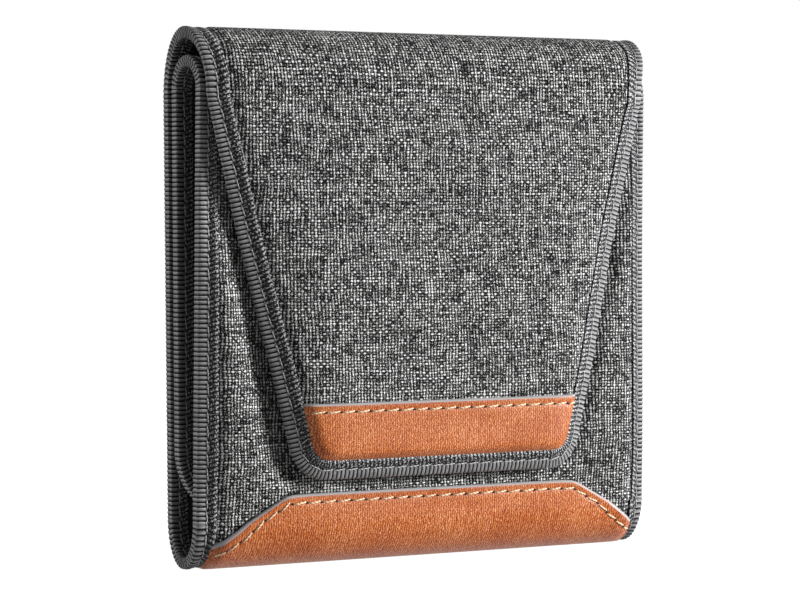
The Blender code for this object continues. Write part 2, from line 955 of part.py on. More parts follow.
def build_front(hinge):
    low = fold_top_of_bottom + contact_gap / 2
    high = fold_base_of_inner - contact_gap / 2
    reach = half_width - sheet_inset
    panel_sheet("front_outer_cloth", front_cloth, low, high, reach, "outer_cloth", hinge)
    panel_sheet("front_lining", front_lining, low, high, reach, "lining", hinge)
    foam = between(lambda x, z: front_cloth(x, z, 1), lambda x, z: front_lining(x, z, 0))
    foam_reach = half_width - swell_start - panel_swell_width
    foam_low = fold_top_of_bottom + foam_end_share * end_swell_length
    foam_high = fold_base_of_inner - front_foam_top_share * end_swell_length
    panel_sheet(
        "front_foam", foam, foam_low, foam_high, foam_reach, "foam", hinge, foam_column_shares
    )
    base, top = fold_top_of_bottom, fold_base_of_inner
    straight_binding("front_binding_left", -1, front_edge, base, top, hinge)
    straight_binding("front_binding_right", 1, front_edge, base, top, hinge)
    build_pocket(
        "front", lambda x, z: front_lining(x, z, 1), 1, front_pocket_faces[0], False, hinge
    )
    build_trim_side("bottom_trim_front", lambda x, z: front_cloth(x, z, 0), -1, hinge)

    def loop_tape(x, z, face):
        return front_cloth(x, z, 0) - contact_gap - (tape_thickness, 0)[face]

    build_closure_tape("front_loop_tape", loop_tape, hinge)


def build_inner(hinge):
    inset = sheet_inset
    columns = column_shares
    shaped_sheet(
        "inner_outer_cloth", inner_cloth, inner_outline, inset, "outer_cloth", hinge, columns
    )
    shaped_sheet("inner_lining", inner_lining, inner_outline, inset, "lining", hinge, columns)
    round_binding("inner_binding", inner_outline, lambda x, z: inner_edge(z), hinge)
    build_pocket(
        "inner", lambda x, z: inner_lining(x, z, 0), -1, inner_pocket_faces[1], True, hinge
    )


def build_flap(hinge):
    inset = sheet_inset
    columns = flap_column_shares
    shaped_sheet("flap_outer_cloth", flap_cloth, flap_outline, inset, "outer_cloth", hinge, columns)
    shaped_sheet("flap_lining", flap_lining, flap_outline, inset, "lining", hinge, columns)
    build_flap_foam(hinge)
    round_binding("flap_binding", flap_outline, flap_edge, hinge)

    def hook_tape(x, z, face):
        loop_face = front_cloth(x, z, 0) - contact_gap - tape_thickness
        return loop_face - contact_gap - (tape_thickness, 0)[face]

    build_closure_tape("flap_hook_tape", hook_tape, hinge)
    build_patch(hinge)


def build_flap_foam(hinge):
    foam = between(lambda x, z: flap_cloth(x, z, 1), lambda x, z: flap_lining(x, z, 0))
    inset = swell_start + flap_foam_side_share * inner_swell_width

    def face(which):
        def at(share, z):
            x = share * flap_outline.half(z, inset)
            return place(x, foam(x, z, which), z)

        return at

    low = closure_top + contact_gap + end_swell_length
    high = fold_base_of_top - foam_end_share * end_swell_length
    rows = [z for z in flap_levels if low <= z <= high]
    sheet("flap_foam", foam_column_shares, rows, face(0), face(1), "foam", hinge)


def build_patch(hinge):
    """The leather patch fills the flap's tip inside the binding, with rounded lower corners."""
    inset = binding_face_width + contact_gap
    base = flap_tip_height + inset
    top = base + patch_height
    half_top = flap_outline.half(top, inset)
    half_bottom = half_top - flap_outline.taper * patch_height
    levels = [mix(share, base + patch_corner_radius, top) for share in level_shares]
    inner = Outline(top, base, half_top, half_bottom, patch_corner_radius, levels)
    rows = inner.heights(0)

    def face(lift):
        def at(share, z):
            x = share * inner.half(z, 0)
            return place(x, flap_cloth(x, z, 0) - lift, z)

        return at

    sheet(
        "flap_leather_patch",
        flap_column_shares,
        rows,
        face(contact_gap + leather_thickness),
        face(contact_gap),
        "leather",
        hinge,
    )


def main():
    clear_scene()
    parts = bpy.data.collections.new(collection_name)
    bpy.context.scene.collection.children.link(parts)
    top_back, top_front = top_fold.hinges()
    bottom_back, bottom_front = bottom_fold.hinges()
    inner_back, inner_front = inner_fold.hinges()
    top_hinge = hinge_empty("top_fold_hinge", top_back)
    flap_hinge = hinge_empty("flap_hinge", top_front, top_hinge)
    bottom_hinge = hinge_empty("bottom_fold_hinge", bottom_back)
    front_hinge = hinge_empty("front_panel_hinge", bottom_front, bottom_hinge)
    inner_fold_hinge = hinge_empty("inner_fold_hinge", inner_front, front_hinge)
    inner_hinge = hinge_empty("inner_panel_hinge", inner_back, inner_fold_hinge)
    build_back()
    build_top_fold(top_hinge)
    build_flap(flap_hinge)
    build_bottom_fold(bottom_hinge)
    build_front(front_hinge)
    build_inner_fold(inner_fold_hinge)
    build_inner(inner_hinge)


main()
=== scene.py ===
"""Lens filter case of heathered charcoal canvas and cognac leather, closed, on a pale floor."""

from functools import partial
from math import asin, atan, cos, exp, hypot, pi, radians, sin, sqrt

import bmesh
import bpy
from mathutils import Matrix, Vector, noise


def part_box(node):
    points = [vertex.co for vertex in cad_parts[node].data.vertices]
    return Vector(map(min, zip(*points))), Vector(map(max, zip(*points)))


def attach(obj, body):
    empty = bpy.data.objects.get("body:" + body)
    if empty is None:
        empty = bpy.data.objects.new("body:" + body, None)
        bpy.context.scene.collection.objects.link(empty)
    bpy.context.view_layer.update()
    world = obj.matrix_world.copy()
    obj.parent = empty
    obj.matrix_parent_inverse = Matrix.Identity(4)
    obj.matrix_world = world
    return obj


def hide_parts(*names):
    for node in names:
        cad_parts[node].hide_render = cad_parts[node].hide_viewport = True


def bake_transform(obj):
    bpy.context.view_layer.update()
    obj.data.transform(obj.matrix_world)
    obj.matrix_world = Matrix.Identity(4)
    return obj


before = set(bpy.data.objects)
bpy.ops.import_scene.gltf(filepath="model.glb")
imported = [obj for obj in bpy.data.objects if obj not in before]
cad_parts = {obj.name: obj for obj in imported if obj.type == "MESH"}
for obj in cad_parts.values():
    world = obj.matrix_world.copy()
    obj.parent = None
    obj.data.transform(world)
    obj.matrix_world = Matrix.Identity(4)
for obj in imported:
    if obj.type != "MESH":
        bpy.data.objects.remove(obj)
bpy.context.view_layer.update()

mm = 0.001

# Sizes of the case, in millimetres. x is from its middle, z from the floor, y from between the edges.
half_width = 66.0
bottom_z, top_z, inner_top_z = 12.0, 119.0, 120.4
binding_half, binding_wide, flap_tape = 1.5, 4.8, 5.3
cloth_thick, lining_thick, gap = 0.5, 0.3, 0.3
front_face = -11.7
front_lining_face, front_pocket_face = -9.3, -5.0
inner_pocket_face, inner_lining_face, inner_cloth_face = -3.8, 0.5, 1.6
back_pocket_face, back_lining_face, back_cloth_face = 2.5, 6.8, 9.2
loop_inner, loop_outer = 13.7, 14.9
closure_top = 49.0
flap_tip, flap_radius, flap_half_top, flap_half_low = 22.2, 10.0, 64.4, 40.7
inner_tip, inner_radius = 11.5, 18.0
trim_peak, trim_flat, trim_low = 18.6, 42.7, 7.7
depth_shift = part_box("belt_loop")[1].y / mm - loop_outer


# The camera, from the photograph's perspective


def new_object(name, data):
    obj = bpy.data.objects.new(name, data)
    bpy.context.scene.collection.objects.link(obj)
    return obj


def look_from_the_left():
    """A long lens a little above the case's middle, from its left and front."""
    data = bpy.data.cameras.new("camera")
    data.sensor_width = 36
    data.lens = 128.58
    data.clip_start, data.clip_end = 0.01, 50
    camera = new_object("camera", data)
    camera.location = (-364.7 * mm, -651.2 * mm, 92.1 * mm)
    camera.rotation_euler = (radians(90 - 1.961), 0, radians(-29))
    bpy.context.scene.camera = camera


look_from_the_left()


# Small sums


def smooth(share):
    share = min(max(share, 0.0), 1.0)
    return share * share * (3 - 2 * share)


def mix(share, low, high):
    return low + (high - low) * share


def place(x, y, z):
    return Vector((x, y + depth_shift, z)) * mm


def waver(x, z, seed, size):
    """Slow unevenness of hand-sewn cloth, from -1 to 1."""
    return noise.noise(Vector((x / size, z / size, seed)))


# Middle of the laminate along the side edges


def back_edge(z):
    return mix((z - bottom_z) / (top_z - bottom_z), 7.6, 9.5)


def front_edge(z):
    return -mix((z - bottom_z) / (inner_top_z - bottom_z), 7.6, 9.8)


def inner_edge(z):
    return 4.4 - 1.4 * (1 - (z - bottom_z) / (inner_top_z - bottom_z))


# The plump middles of the panels


def ends(z, base, low):
    return mix(smooth((z - bottom_z) / 15), low, 1) * smooth((base - z) / 15)


def side(x):
    return half_width - abs(x)


def wedge(inside):
    """The padding thickens in from the sewn edge: from 0 at the edge to 1 nine millimetres in."""
    return (1 - (1 - min(max(inside / 9, 0.0), 1.0)) ** 2.2) * mix(smooth(inside / 4), 0.4, 1.0)


def plump(inside, height, pillow, tape=binding_wide):
    """How far the cloth stands over its flat place: the padding's slope, and a roll beside the tape."""
    return height * wedge(inside) + pillow * smooth((inside - tape - 0.2) / 1.4)


front_plump, pressed_plump, flap_plump, top_plump, back_plump = 3.0, 0.8, 2.6, 0.3, 0.6
# Less of the front's right-hand tape shows than of its left, as in the photograph.
right_tape_share = 0.85


def beside_flap(x, z):
    """0 under the flap, which presses the padding down, and 1 beside it, sooner on the right."""
    beside = -flap_inside(x, z)
    return smooth((beside - 0.6) / 9) if x < 0 else smooth((beside + 1.5) / 6)


def front_height(x, z):
    """The padding's height on the front panel, which is flatter at its upper right."""
    full = front_plump - (0.9 * smooth((z - 20) / 60) if x > 0 else 0.0)
    return mix(beside_flap(x, z), pressed_plump, full)


def front_ends(z):
    return ends(z, inner_top_z, 0.75)


def front_middle(x):
    """0 at the front's side edges and 1 over its middle, where it lies on the flat foam."""
    return smooth((side(x) - 2) / 34) ** 1.4


def front_rise(x, z):
    tape = binding_wide * (right_tape_share if x > 0 else 1)
    pillow = mix(beside_flap(x, z), 0.3, 1.1)
    return front_ends(z) * plump(side(x), front_height(x, z), pillow, tape)


def front_cloth(x, z):
    face = front_edge(z) - cloth_thick - front_rise(x, z)
    left = min(front_face - face, 0.0)
    return face + front_ends(z) * left * front_middle(x)


def swollen(x):
    return smooth((side(x) - 6) / 20)


def front_lining(x, z):
    return mix(swollen(x) * front_ends(z), front_edge(z) + gap, front_lining_face - lining_thick)


def back_cloth(x, z):
    face = mix(swollen(x) * ends(z, top_z, 0.5), back_edge(z) + cloth_thick, back_cloth_face)
    return face + plump(side(x), back_plump, 0.3)


def back_lining(x, z):
    edge = back_edge(z) - gap - lining_thick
    return mix(swollen(x) * ends(z, top_z, 0.5), edge, back_lining_face)


def inner_swell(x, z):
    from_tip = smooth((z - inner_tip - 6) / 15)
    return smooth((side(x) - 6) / 14) * from_tip * smooth((inner_top_z - z) / 15)


def inner_cloth(x, z):
    return mix(inner_swell(x, z), inner_edge(z) + cloth_thick, inner_cloth_face)


def inner_lining(x, z):
    return mix(inner_swell(x, z), inner_edge(z) - gap - lining_thick, inner_lining_face)


def closure_share(z):
    return 1 - smooth((z - closure_top - gap) / 15)


def solid_front(x, z):
    """The front panel's face without its plump sides."""
    return mix(front_middle(x) * front_ends(z), front_edge(z) - cloth_thick, front_face)


def flap_edge(x, z):
    """The flap rests on the front panel, clear of that panel's bindings and of the closure's tapes."""
    lift = mix(smooth((z - 80) / 22), mix(closure_share(z), 0.35, 1.0), 1.3)
    return solid_front(x, z) - lift - binding_half


flap_taper = (flap_half_top - flap_half_low) / (top_z - flap_tip)
flap_tilt = atan(flap_taper)


def flap_inside(x, z):
    """Distance in from the flap's tapered sides and from its tip."""
    across = (flap_half_top - flap_taper * (top_z - z) - abs(x)) * cos(flap_tilt)
    up = z - flap_tip
    if across < flap_radius and up < flap_radius:
        return flap_radius - hypot(flap_radius - across, flap_radius - up)
    return min(across, up)


def flap_cloth(x, z):
    inside = flap_inside(x, z)
    swell = smooth((inside - 6) / 14) * smooth((top_z - z) / 15)
    rise = plump(inside, flap_plump, 0.65, flap_tape) + 0.5 * (1 - closure_share(z)) * swell
    return flap_edge(x, z) - rise - cloth_thick


def flap_lining(x, z):
    return flap_edge(x, z) + gap + lining_thick


def askew(x, share):
    """The flap was sewn on a little to the left at its top, and its right-hand side runs further in."""
    return x - share * mix((x / half_width + 1) / 2, 1.0, 2.2)


def flap_askew(x, z):
    return askew(x, smooth((z - 50) / 60))


class Outline:
    """A tapered panel with rounded lower corners: its half width, and the line round its edge."""

    def __init__(self, top, base, half_top, half_low, radius):
        self.top, self.half_top, self.radius = top, half_top, radius
        self.taper = (half_top - half_low) / (top - base)
        self.tilt = atan(self.taper)
        self.corner_z = base + radius
        self.corner_x = half_low + self.taper * radius - radius / cos(self.tilt)
        self.base = base
        self.turn_z = self.corner_z - radius * sin(self.tilt)
        self.straight = (top - self.turn_z) / cos(self.tilt)
        self.arc = radius * (pi / 2 - self.tilt)
        self.length = 2 * (self.straight + self.arc + self.corner_x)

    def half(self, z, inset=0.0):
        reach = self.radius - inset
        if z >= self.corner_z - reach * sin(self.tilt):
            return self.half_top - self.taper * (self.top - z) - inset / cos(self.tilt)
        rise = min(max((self.corner_z - z) / reach, -1.0), 1.0)
        return self.corner_x + reach * sqrt(1 - rise * rise)

    def at(self, run):
        """Point and inward way at a distance along the edge, from the left top round to the right."""
        right = run > self.length / 2
        run = min(run, self.length - run)
        if run < self.straight:
            z = self.top - run * cos(self.tilt)
            spot, out = (self.half(z), z), (cos(self.tilt), -sin(self.tilt))
            if run < 1e-6:
                out = (1 / cos(self.tilt), 0)
        elif run < self.straight + self.arc:
            angle = -self.tilt - (run - self.straight) / self.radius
            out = (cos(angle), sin(angle))
            spot = (self.corner_x + out[0] * self.radius, self.corner_z + out[1] * self.radius)
        else:
            out = (0.0, -1.0)
            spot = (self.length / 2 - run, self.base)
        sign = 1 if right else -1
        return (sign * spot[0], spot[1]), (-sign * out[0], -out[1])


flap_outline = Outline(top_z, flap_tip, flap_half_top, flap_half_low, flap_radius)
inner_outline = Outline(inner_top_z, inner_tip, half_width, half_width, inner_radius)


class Fold:
    """A half ellipse that the laminate's middle follows, from the back leg round to the front one."""

    def __init__(self, middle, base, deep, tall):
        self.middle, self.base, self.deep, self.tall = middle, base, deep, tall
        wide, high = abs(deep), abs(tall)
        self.length = pi / 2 * (wide + high) * (1 + ((wide - high) / (wide + high)) ** 2 / 4)

    def at(self, turn, offset):
        y, z = cos(pi * turn), sin(pi * turn)
        normal = Vector((y / self.deep, z / self.tall)).normalized()
        return (
            self.middle + y * self.deep + normal.x * offset,
            self.base + z * self.tall + normal.y * offset,
        )

    def point(self, turn):
        return place(0, *self.at(turn, 0))


top_fold = Fold(-1.8, top_z, 11.3, 136 - binding_half - top_z)
bottom_fold = Fold(0, bottom_z, 7.6, -10.7)
inner_fold = Fold(-2.7, inner_top_z, 7.1, 6.9)


# Making the pieces


def select_only(obj):
    bpy.ops.object.select_all(action="DESELECT")
    obj.select_set(True)
    bpy.context.view_layer.objects.active = obj


def outward(obj):
    """Faces of a closed piece point out."""
    shape = bmesh.new()
    shape.from_mesh(obj.data)
    bmesh.ops.recalc_face_normals(shape, faces=shape.faces[:])
    if shape.calc_volume(signed=True) < 0:
        bmesh.ops.reverse_faces(shape, faces=shape.faces[:])
    shape.to_mesh(obj.data)
    shape.free()


def apply_all(obj):
    select_only(obj)
    for modifier in list(obj.modifiers):
        bpy.ops.object.modifier_apply(modifier=modifier.name)


def shell(name, columns, rows, spot_at, thick, inward=-1, rounded=0.0):
    """A grid laid on a surface and given its thickness. spot_at turns shares across and along into a
    place and the cloth's own coordinates in millimetres."""
    bpy.ops.object.select_all(action="DESELECT")
    bpy.ops.mesh.primitive_grid_add(x_subdivisions=columns, y_subdivisions=rows, size=2)
    obj = bpy.context.object
    obj.name = obj.data.name = name
    flat = []
    for vertex in obj.data.vertices:
        spot, u, v = spot_at((vertex.co.x + 1) / 2, (vertex.co.y + 1) / 2)
        vertex.co = spot
        flat.append((u, v))
    layer = obj.data.uv_layers.active
    for loop in obj.data.loops:
        layer.data[loop.index].uv = flat[loop.vertex_index]
    if thick:
        wall = obj.modifiers.new("thickness", "SOLIDIFY")
        wall.thickness = thick * mm
        wall.offset = inward
        wall.use_even_offset = True
        if rounded:
            bevel = obj.modifiers.new("rounded_rim", "BEVEL")
            bevel.width = rounded * mm
            bevel.segments = 2
            bevel.limit_method = "ANGLE"
            bevel.angle_limit = radians(50)
        apply_all(obj)
        outward(obj)
    select_only(obj)
    bpy.ops.object.shade_smooth_by_angle(angle=radians(45))
    return obj


def settle(obj, where, nodes, finish):
    """Gives a piece its place on the case and its material, and hides the solids it stands for."""
    look, slot = finish
    obj.data.materials.clear()
    obj.data.materials.append(look)
    if isinstance(where, str):
        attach(obj, where)
    else:
        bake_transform(obj)
    if nodes:
        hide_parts(*nodes)
    return obj


def half_turns(fold, outer_body, spine, inner_body):
    """The two halves of a fold: the shares of its turn, and the bodies and points each half lies
    between.
    """
    start, top, end = fold.point(0), fold.point(0.5), fold.point(1)
    return (
        ("back", 0.0, 0.5, (outer_body, spine, start, top)),
        ("front", 0.5, 1.0, (spine, inner_body, top, end)),
    )


top_halves = half_turns(top_fold, "back_panel", "top_spine", "flap")
bottom_halves = half_turns(bottom_fold, "back_panel", "bottom_spine", "front_panel")
inner_halves = (
    ("back", 0.0, 0.5, ("inner_spine", "inner_panel", inner_fold.point(0.5), inner_fold.point(0))),
    ("front", 0.5, 1.0, ("front_panel", "inner_spine", inner_fold.point(1), inner_fold.point(0.5))),
)


# Materials


def hex_colour(text):
    """An sRGB hex colour as linear red, green, blue and alpha."""
    values = [int(text[i : i + 2], 16) / 255 for i in (1, 3, 5)]
    return [v / 12.92 if v <= 0.04045 else ((v + 0.055) / 1.055) ** 2.4 for v in values] + [1.0]


def add_node(tree, kind, *inputs, out=0, stops=None, **settings):
    """Adds a node and gives back one of its outputs. A kind in capitals is a Math node's operation.
    The inputs come in order, None leaves one alone, and a setting is an input by its place, in6, or
    by its name, or else a property."""
    made = tree.nodes.new("ShaderNode" + ("Math" if kind.isupper() else kind))
    if kind.isupper():
        made.operation = kind
    sockets = dict(enumerate(inputs))
    for name, value in settings.items():
        if name[:2] == "in" and name[2:].isdigit():
            sockets[int(name[2:])] = value
        elif name in made.inputs:
            sockets[name] = value
        else:
            setattr(made, name, value)
    for name, value in sockets.items():
        if isinstance(value, bpy.types.NodeSocket):
            tree.links.new(value, made.inputs[name])
        elif value is not None:
            made.inputs[name].default_value = hex_colour(value) if isinstance(value, str) else value
    if stops:
        elements = made.color_ramp.elements
        elements.remove(elements[0])
        for index, (position, colour) in enumerate(stops):
            element = elements[0] if index == 0 else elements.new(position)
            element.position, element.color = position, hex_colour(colour)
    return made.outputs[out]


def new_look(name, roughness, specular):
    """A new material, and add_node for its tree."""
    look = bpy.data.materials.new(name)
    look.use_nodes = True
    shader = look.node_tree.nodes["Principled BSDF"]
    shader.inputs["Roughness"].default_value = roughness
    shader.inputs["Specular IOR Level"].default_value = specular
    return look, partial(add_node, look.node_tree)


def cloth_look(name, roughness, specular):
    """The same, and a piece's own two coordinates in millimetres."""
    look, add = new_look(name, roughness, specular)
    cloth = add("SeparateXYZ", add("UVMap", uv_map="UVMap"))
    return look, add, cloth, cloth.node.outputs[1]


def finish_look(look, colour, height, strength, deep):
    """Colour and relief of a finished material: the relief is deep millimetres high."""
    tree = look.node_tree
    shader = tree.nodes["Principled BSDF"]
    tree.links.new(colour, shader.inputs["Base Color"])
    bump = add_node(tree, "Bump", Strength=strength, Distance=deep * mm, Height=height)
    tree.links.new(bump, shader.inputs["Normal"])
    return look


def ridges(add, run, pitch, shift=0.0):
    """Rounded ridges a pitch apart along a run: 0 in their grooves and 1 on their crests."""
    turn = add("MULTIPLY_ADD", run, pi / pitch, shift)
    return add("ABSOLUTE", add("SINE", turn))


warp_pitch, weft_pitch, rib_pitch = 0.89, 0.76, 1.17


def heathered_canvas(name):
    """Melange polyester canvas, plain woven of charcoal and pale yarn: an open grid of threads,
    each crossing a tone of its own, with painted shade that darkens each thread towards its sides
    and the gaps between threads to almost black."""
    look, add, x, y = cloth_look(name, 0.9, 0.05)
    # The threads wander slowly, as woven cloth does when it is sewn.
    slow = add("CombineXYZ", x, y, 3.1)
    drift = add("SeparateXYZ", add("TexNoise", Vector=slow, Scale=0.12, Detail=1.0, out=1))
    across = add("MULTIPLY_ADD", drift, 1.2, x)
    across = add("MULTIPLY", across, 1 / warp_pitch)
    along = add("MULTIPLY_ADD", drift.node.outputs[1], 0.8, y)
    along = add("MULTIPLY", along, 1 / weft_pitch)
    column = add("FLOOR", across)
    row = add("FLOOR", along)
    crossing = add("TexWhiteNoise", Vector=add("CombineXYZ", column, row, 0.0))
    heights, tones = [], []
    # Each thread: where it lies, what it crosses, its shift, how far it dips under the other and how
    # narrow it is, and then the way and the step in which its tone changes.
    for own, other, index, shift, dip, narrow, run, seed, step in (
        (across, along, column, -0.5, 0.19, 0.38, y, 1.7, 3.0),
        (along, across, row, 0.5, 0.47, 0.2, x, 9.3, 3.4),
    ):
        section = ridges(add, own, 1.0)
        section = add("MapRange", section, narrow, 0.98, 0.0, 1.0, interpolation_type="SMOOTHSTEP")
        phase = add("ADD", add("ADD", other, index), shift)
        phase = add("COSINE", add("MULTIPLY", phase, pi))
        over = add("MULTIPLY_ADD", phase, dip, 1 - dip)
        heights.append(add("MULTIPLY", section, over))
        # Pale fibres come and go along a yarn, differently on each one.
        run = add("MULTIPLY", run, 1 / step)
        yarn = add("CombineXYZ", run, add("MULTIPLY", index, 7.31), seed)
        tones.append(add("TexNoise", Vector=yarn, Scale=1.0, Detail=1.0, Roughness=0.5))
    # Here and there a pale length, a slub, runs along the weft.
    run = add("MULTIPLY", x, 1 / 9)
    yarn = add("CombineXYZ", run, add("MULTIPLY", row, 5.7), 12.4)
    slub = add("TexNoise", Vector=yarn, Scale=1.0, Detail=0.0)
    slub = add("MapRange", slub, 0.64, 0.74, 0.0, 0.4)
    warp = add("MapRange", tones[0], 0.3, 0.78, 0.36, 0.76)
    weft = add("ADD", add("MapRange", tones[1], 0.3, 0.78, 0.4, 0.84), slub)
    top = add("MAXIMUM", *heights)
    warp_is_up = add("GREATER_THAN", *heights)
    tone = add("Mix", warp_is_up, in2=weft, in3=warp, data_type="FLOAT")
    tone = add("MULTIPLY_ADD", crossing, 0.2, tone)
    fibres = add("TexNoise", Vector=add("CombineXYZ", x, y, 6.2), Scale=3.2, Detail=1.0)
    fibres = add("SUBTRACT", fibres, 0.5)
    tone = add("MULTIPLY_ADD", fibres, 1.5, tone)
    stops = [
        (0.34, "#151516"), (0.53, "#424242"), (0.66, "#90908f"), (0.8, "#e2e2e0"), (0.95, "#ffffff")
    ]
    colour = add("ValToRGB", tone, stops=stops)
    # Painted shade: each thread darkens towards its sides and where it dips under the other, and the
    # gaps between threads go almost black.
    shade = add("POWER", top, 2.6)
    shade = add("MULTIPLY_ADD", shade, 1.16, 0.003)
    colour = add("Mix", 1.0, in6=colour, in7=shade, out=2, data_type="RGBA", blend_type="MULTIPLY")
    return finish_look(look, colour, top, 0.6, 0.2)


def grosgrain(name):
    """Polyester grosgrain tape: thick ribs with pale crests and painted shade, almost black, in
    the grooves between them, then past the seam a dark column, with painted shade where it dips
    into the seam, and a braided selvedge. Its coordinates run along the tape and out from its
    folded edge."""
    look, add, run, out = cloth_look(name, 0.6, 0.12)
    out = add("ABSOLUTE", out)
    # Single fibres lie along each rib, so they are long across the tape and thin along it.
    fibre = add("MULTIPLY", run, 6.0)
    fibre = add("CombineXYZ", fibre, add("MULTIPLY", out, 0.8), 2.0)
    fibre = add("TexNoise", Vector=fibre, Scale=1.0, Detail=2.0)
    fibre = add("MULTIPLY_ADD", fibre, 0.6, -0.3)
    each = add("FLOOR", add("MULTIPLY", run, 1 / rib_pitch))
    each = add("TexWhiteNoise", None, each, noise_dimensions="1D")
    each = add("MULTIPLY_ADD", each, 0.12, -0.06)
    tone = add("ADD", ridges(add, run, rib_pitch), add("ADD", fibre, each))
    # Painted shade: the ramp is almost black in the grooves between ribs and grey on their crests.
    stops = [
        (0.0, "#040405"), (0.42, "#0d0d0e"), (0.68, "#4c4c4e"), (0.85, "#78787a"), (1.0, "#98989a")
    ]
    crest = add("ValToRGB", tone, stops=stops)
    # Painted highlight: a thin pale line on the upper side of each rib, where light from above catches
    # it.
    rib_highlight = add("MULTIPLY_ADD", fibre, 0.25, ridges(add, run, rib_pitch, 0.8))
    rib_highlight = add("MapRange", rib_highlight, 0.9, 1.02, 0.0, 0.8)
    crest = add("Mix", rib_highlight, in6=crest, in7="#e0e0e2", out=2, data_type="RGBA")
    # The selvedge: a dark column of small loops, then a paler braided edge, broken by stray fibres.
    loops = ridges(add, add("MULTIPLY_ADD", out, 0.35, run), rib_pitch)
    stray = add("TexNoise", Vector=add("CombineXYZ", run, out, 5.0), Scale=2.6, Detail=1.0)
    braid = add("MULTIPLY_ADD", stray, 2.2, -1.06)
    braid = add("MULTIPLY_ADD", loops, 0.55, braid)
    paler = add("MapRange", out, 5.1, 5.4, 0.0, 0.16, interpolation_type="SMOOTHSTEP")
    braid = add("ADD", braid, paler)
    stops = [(0.1, "#040405"), (0.38, "#1c1c1d"), (0.6, "#606062"), (0.85, "#d4d4d6")]
    weave = add("ValToRGB", braid, stops=stops)
    # Painted shade where the selvedge dips into the seam's valley.
    valley_shade = add("MapRange", out, 3.65, 4.1, 0.15, 1.0, interpolation_type="SMOOTHSTEP")
    weave = add("Mix", 1.0, in6=weave, in7=valley_shade, out=2, data_type="RGBA", blend_type="MULTIPLY")
    on_selvedge = add("MULTIPLY_ADD", out, 4.0, -14.2, use_clamp=True)
    colour = add("Mix", on_selvedge, in6=crest, in7=weave, out=2, data_type="RGBA")
    height = add("MULTIPLY", braid, on_selvedge)
    height = add("ADD", height, fibre)
    return finish_look(look, colour, height, 0.6, 0.15)


def pebbled_leather(name):
    """Corrected-grain coated leather, cognac: fine pebbles with a painted highlight on their tops
    and painted shade in the creases between them, and a grey painted cut edge. Its coordinates
    run along the piece and in from the cut edge."""
    look, add, x, inside = cloth_look(name, 0.42, 0.3)
    spot = add("CombineXYZ", x, add("MULTIPLY", inside, 1.3), 4.0)
    # The pebbles stand in wavering upright rows 0.66 mm apart, which bend and break into one another.
    bend = add("TexNoise", Vector=spot, Scale=1.25, Detail=0.0)
    rows = add("MULTIPLY", x, 9.5)
    rows = add("MULTIPLY_ADD", bend, 7.5, rows)
    rows = add("SINE", rows)
    creases = add("TexNoise", Vector=spot, Scale=3.4, Detail=0.0)
    creases = add("MULTIPLY_ADD", creases, 0.8, -0.4)
    grain = add("MULTIPLY_ADD", rows, 0.21, creases)
    slow = add("TexNoise", Vector=spot, Scale=0.07, Detail=1.0)
    slow = add("MULTIPLY_ADD", slow, 0.3, 0.35)
    # The ramp's pale pink end is a painted highlight on the pebbles' tops, and its dark end is painted
    # shade in the creases.
    tone = add("SUBTRACT", slow, grain)
    stops = [
        (0.02, "#4e1500"), (0.24, "#883206"), (0.45, "#b45518"), (0.66, "#cc7c40"), (0.92, "#edb28a")
    ]
    colour = add("ValToRGB", tone, stops=stops)
    # Painted shade: darker within about 1.7 mm of the cut edge, where the leather rounds down towards
    # the cloth.
    edge_shade = add("MULTIPLY_ADD", inside, -0.3, 0.5, use_clamp=True)
    colour = add("Mix", edge_shade, in6=colour, in7="#8a360f", out=2, data_type="RGBA")
    edge = add("LESS_THAN", inside, 0.55)
    colour = add("Mix", edge, in6=colour, in7="#b2aeae", out=2, data_type="RGBA")
    return finish_look(look, colour, add("SUBTRACT", 1.0, grain), 0.25, 0.1)


def fine_twill(name, dark, light, pitch):
    """Dense nylon or polyester twill: thin slanting lines on a nearly black ground."""
    look, add, x, y = cloth_look(name, 0.7, 0.3)
    slant = add("MULTIPLY", add("ADD", x, y), pi / pitch)
    rows = add("MULTIPLY", y, 2 * pi / pitch)
    rows = add("MULTIPLY", add("SINE", rows), 0.5)
    height = add("ADD", add("SINE", slant), rows)
    height = add("MULTIPLY_ADD", height, 0.33, 0.5)
    speckle = add("TexNoise", Vector=add("CombineXYZ", x, y, 5.0), Scale=0.8)
    tone = add("MULTIPLY_ADD", speckle, 0.5, -0.25)
    colour = add("ValToRGB", add("ADD", tone, height), stops=[(0.2, dark), (0.9, light)])
    return finish_look(look, colour, height, 0.4, 0.1)


def sewing_thread(name, colour, shade, twist):
    """Bonded polyester thread, twisted of three plies: slanting bands along it, paler on the plies
    and darker between them, which is painted shade.
    """
    look, add, x, y = cloth_look(name, 0.5, 0.4)
    band = add("MULTIPLY", add("ADD", x, y), pi / twist)
    band = add("SINE", band)
    band = add("MULTIPLY_ADD", band, 0.5, 0.5)
    tone = add("ValToRGB", band, stops=[(0.0, shade), (0.6, colour)])
    return finish_look(look, tone, band, 0.5, 0.1)


# Each finish is a material and the slot of the solids that have it.
canvas = heathered_canvas("woven_melange_canvas"), "outer_cloth"
tape = grosgrain("woven_grosgrain_tape"), "binding"
leather = pebbled_leather("coated_pebbled_leather"), "leather"
lining = fine_twill("woven_nylon_lining", "#0b0b0c", "#2c2c2e", 0.5), "lining"
elastic = fine_twill("knitted_elastic", "#161617", "#4a4a4c", 0.9), "elastic"
webbing = fine_twill("woven_polyester_webbing", "#0d0d0e", "#3c3c3e", 1.1), "webbing"
hook_pile = fine_twill("woven_hook_and_loop", "#070708", "#222223", 0.35), "hook_and_loop"
cream_thread = sewing_thread("bonded_cream_thread", "#fff0d2", "#c79c68", 0.55), "leather"
grey_thread = sewing_thread("bonded_grey_thread", "#d8d8d6", "#808080", 0.5), "binding"
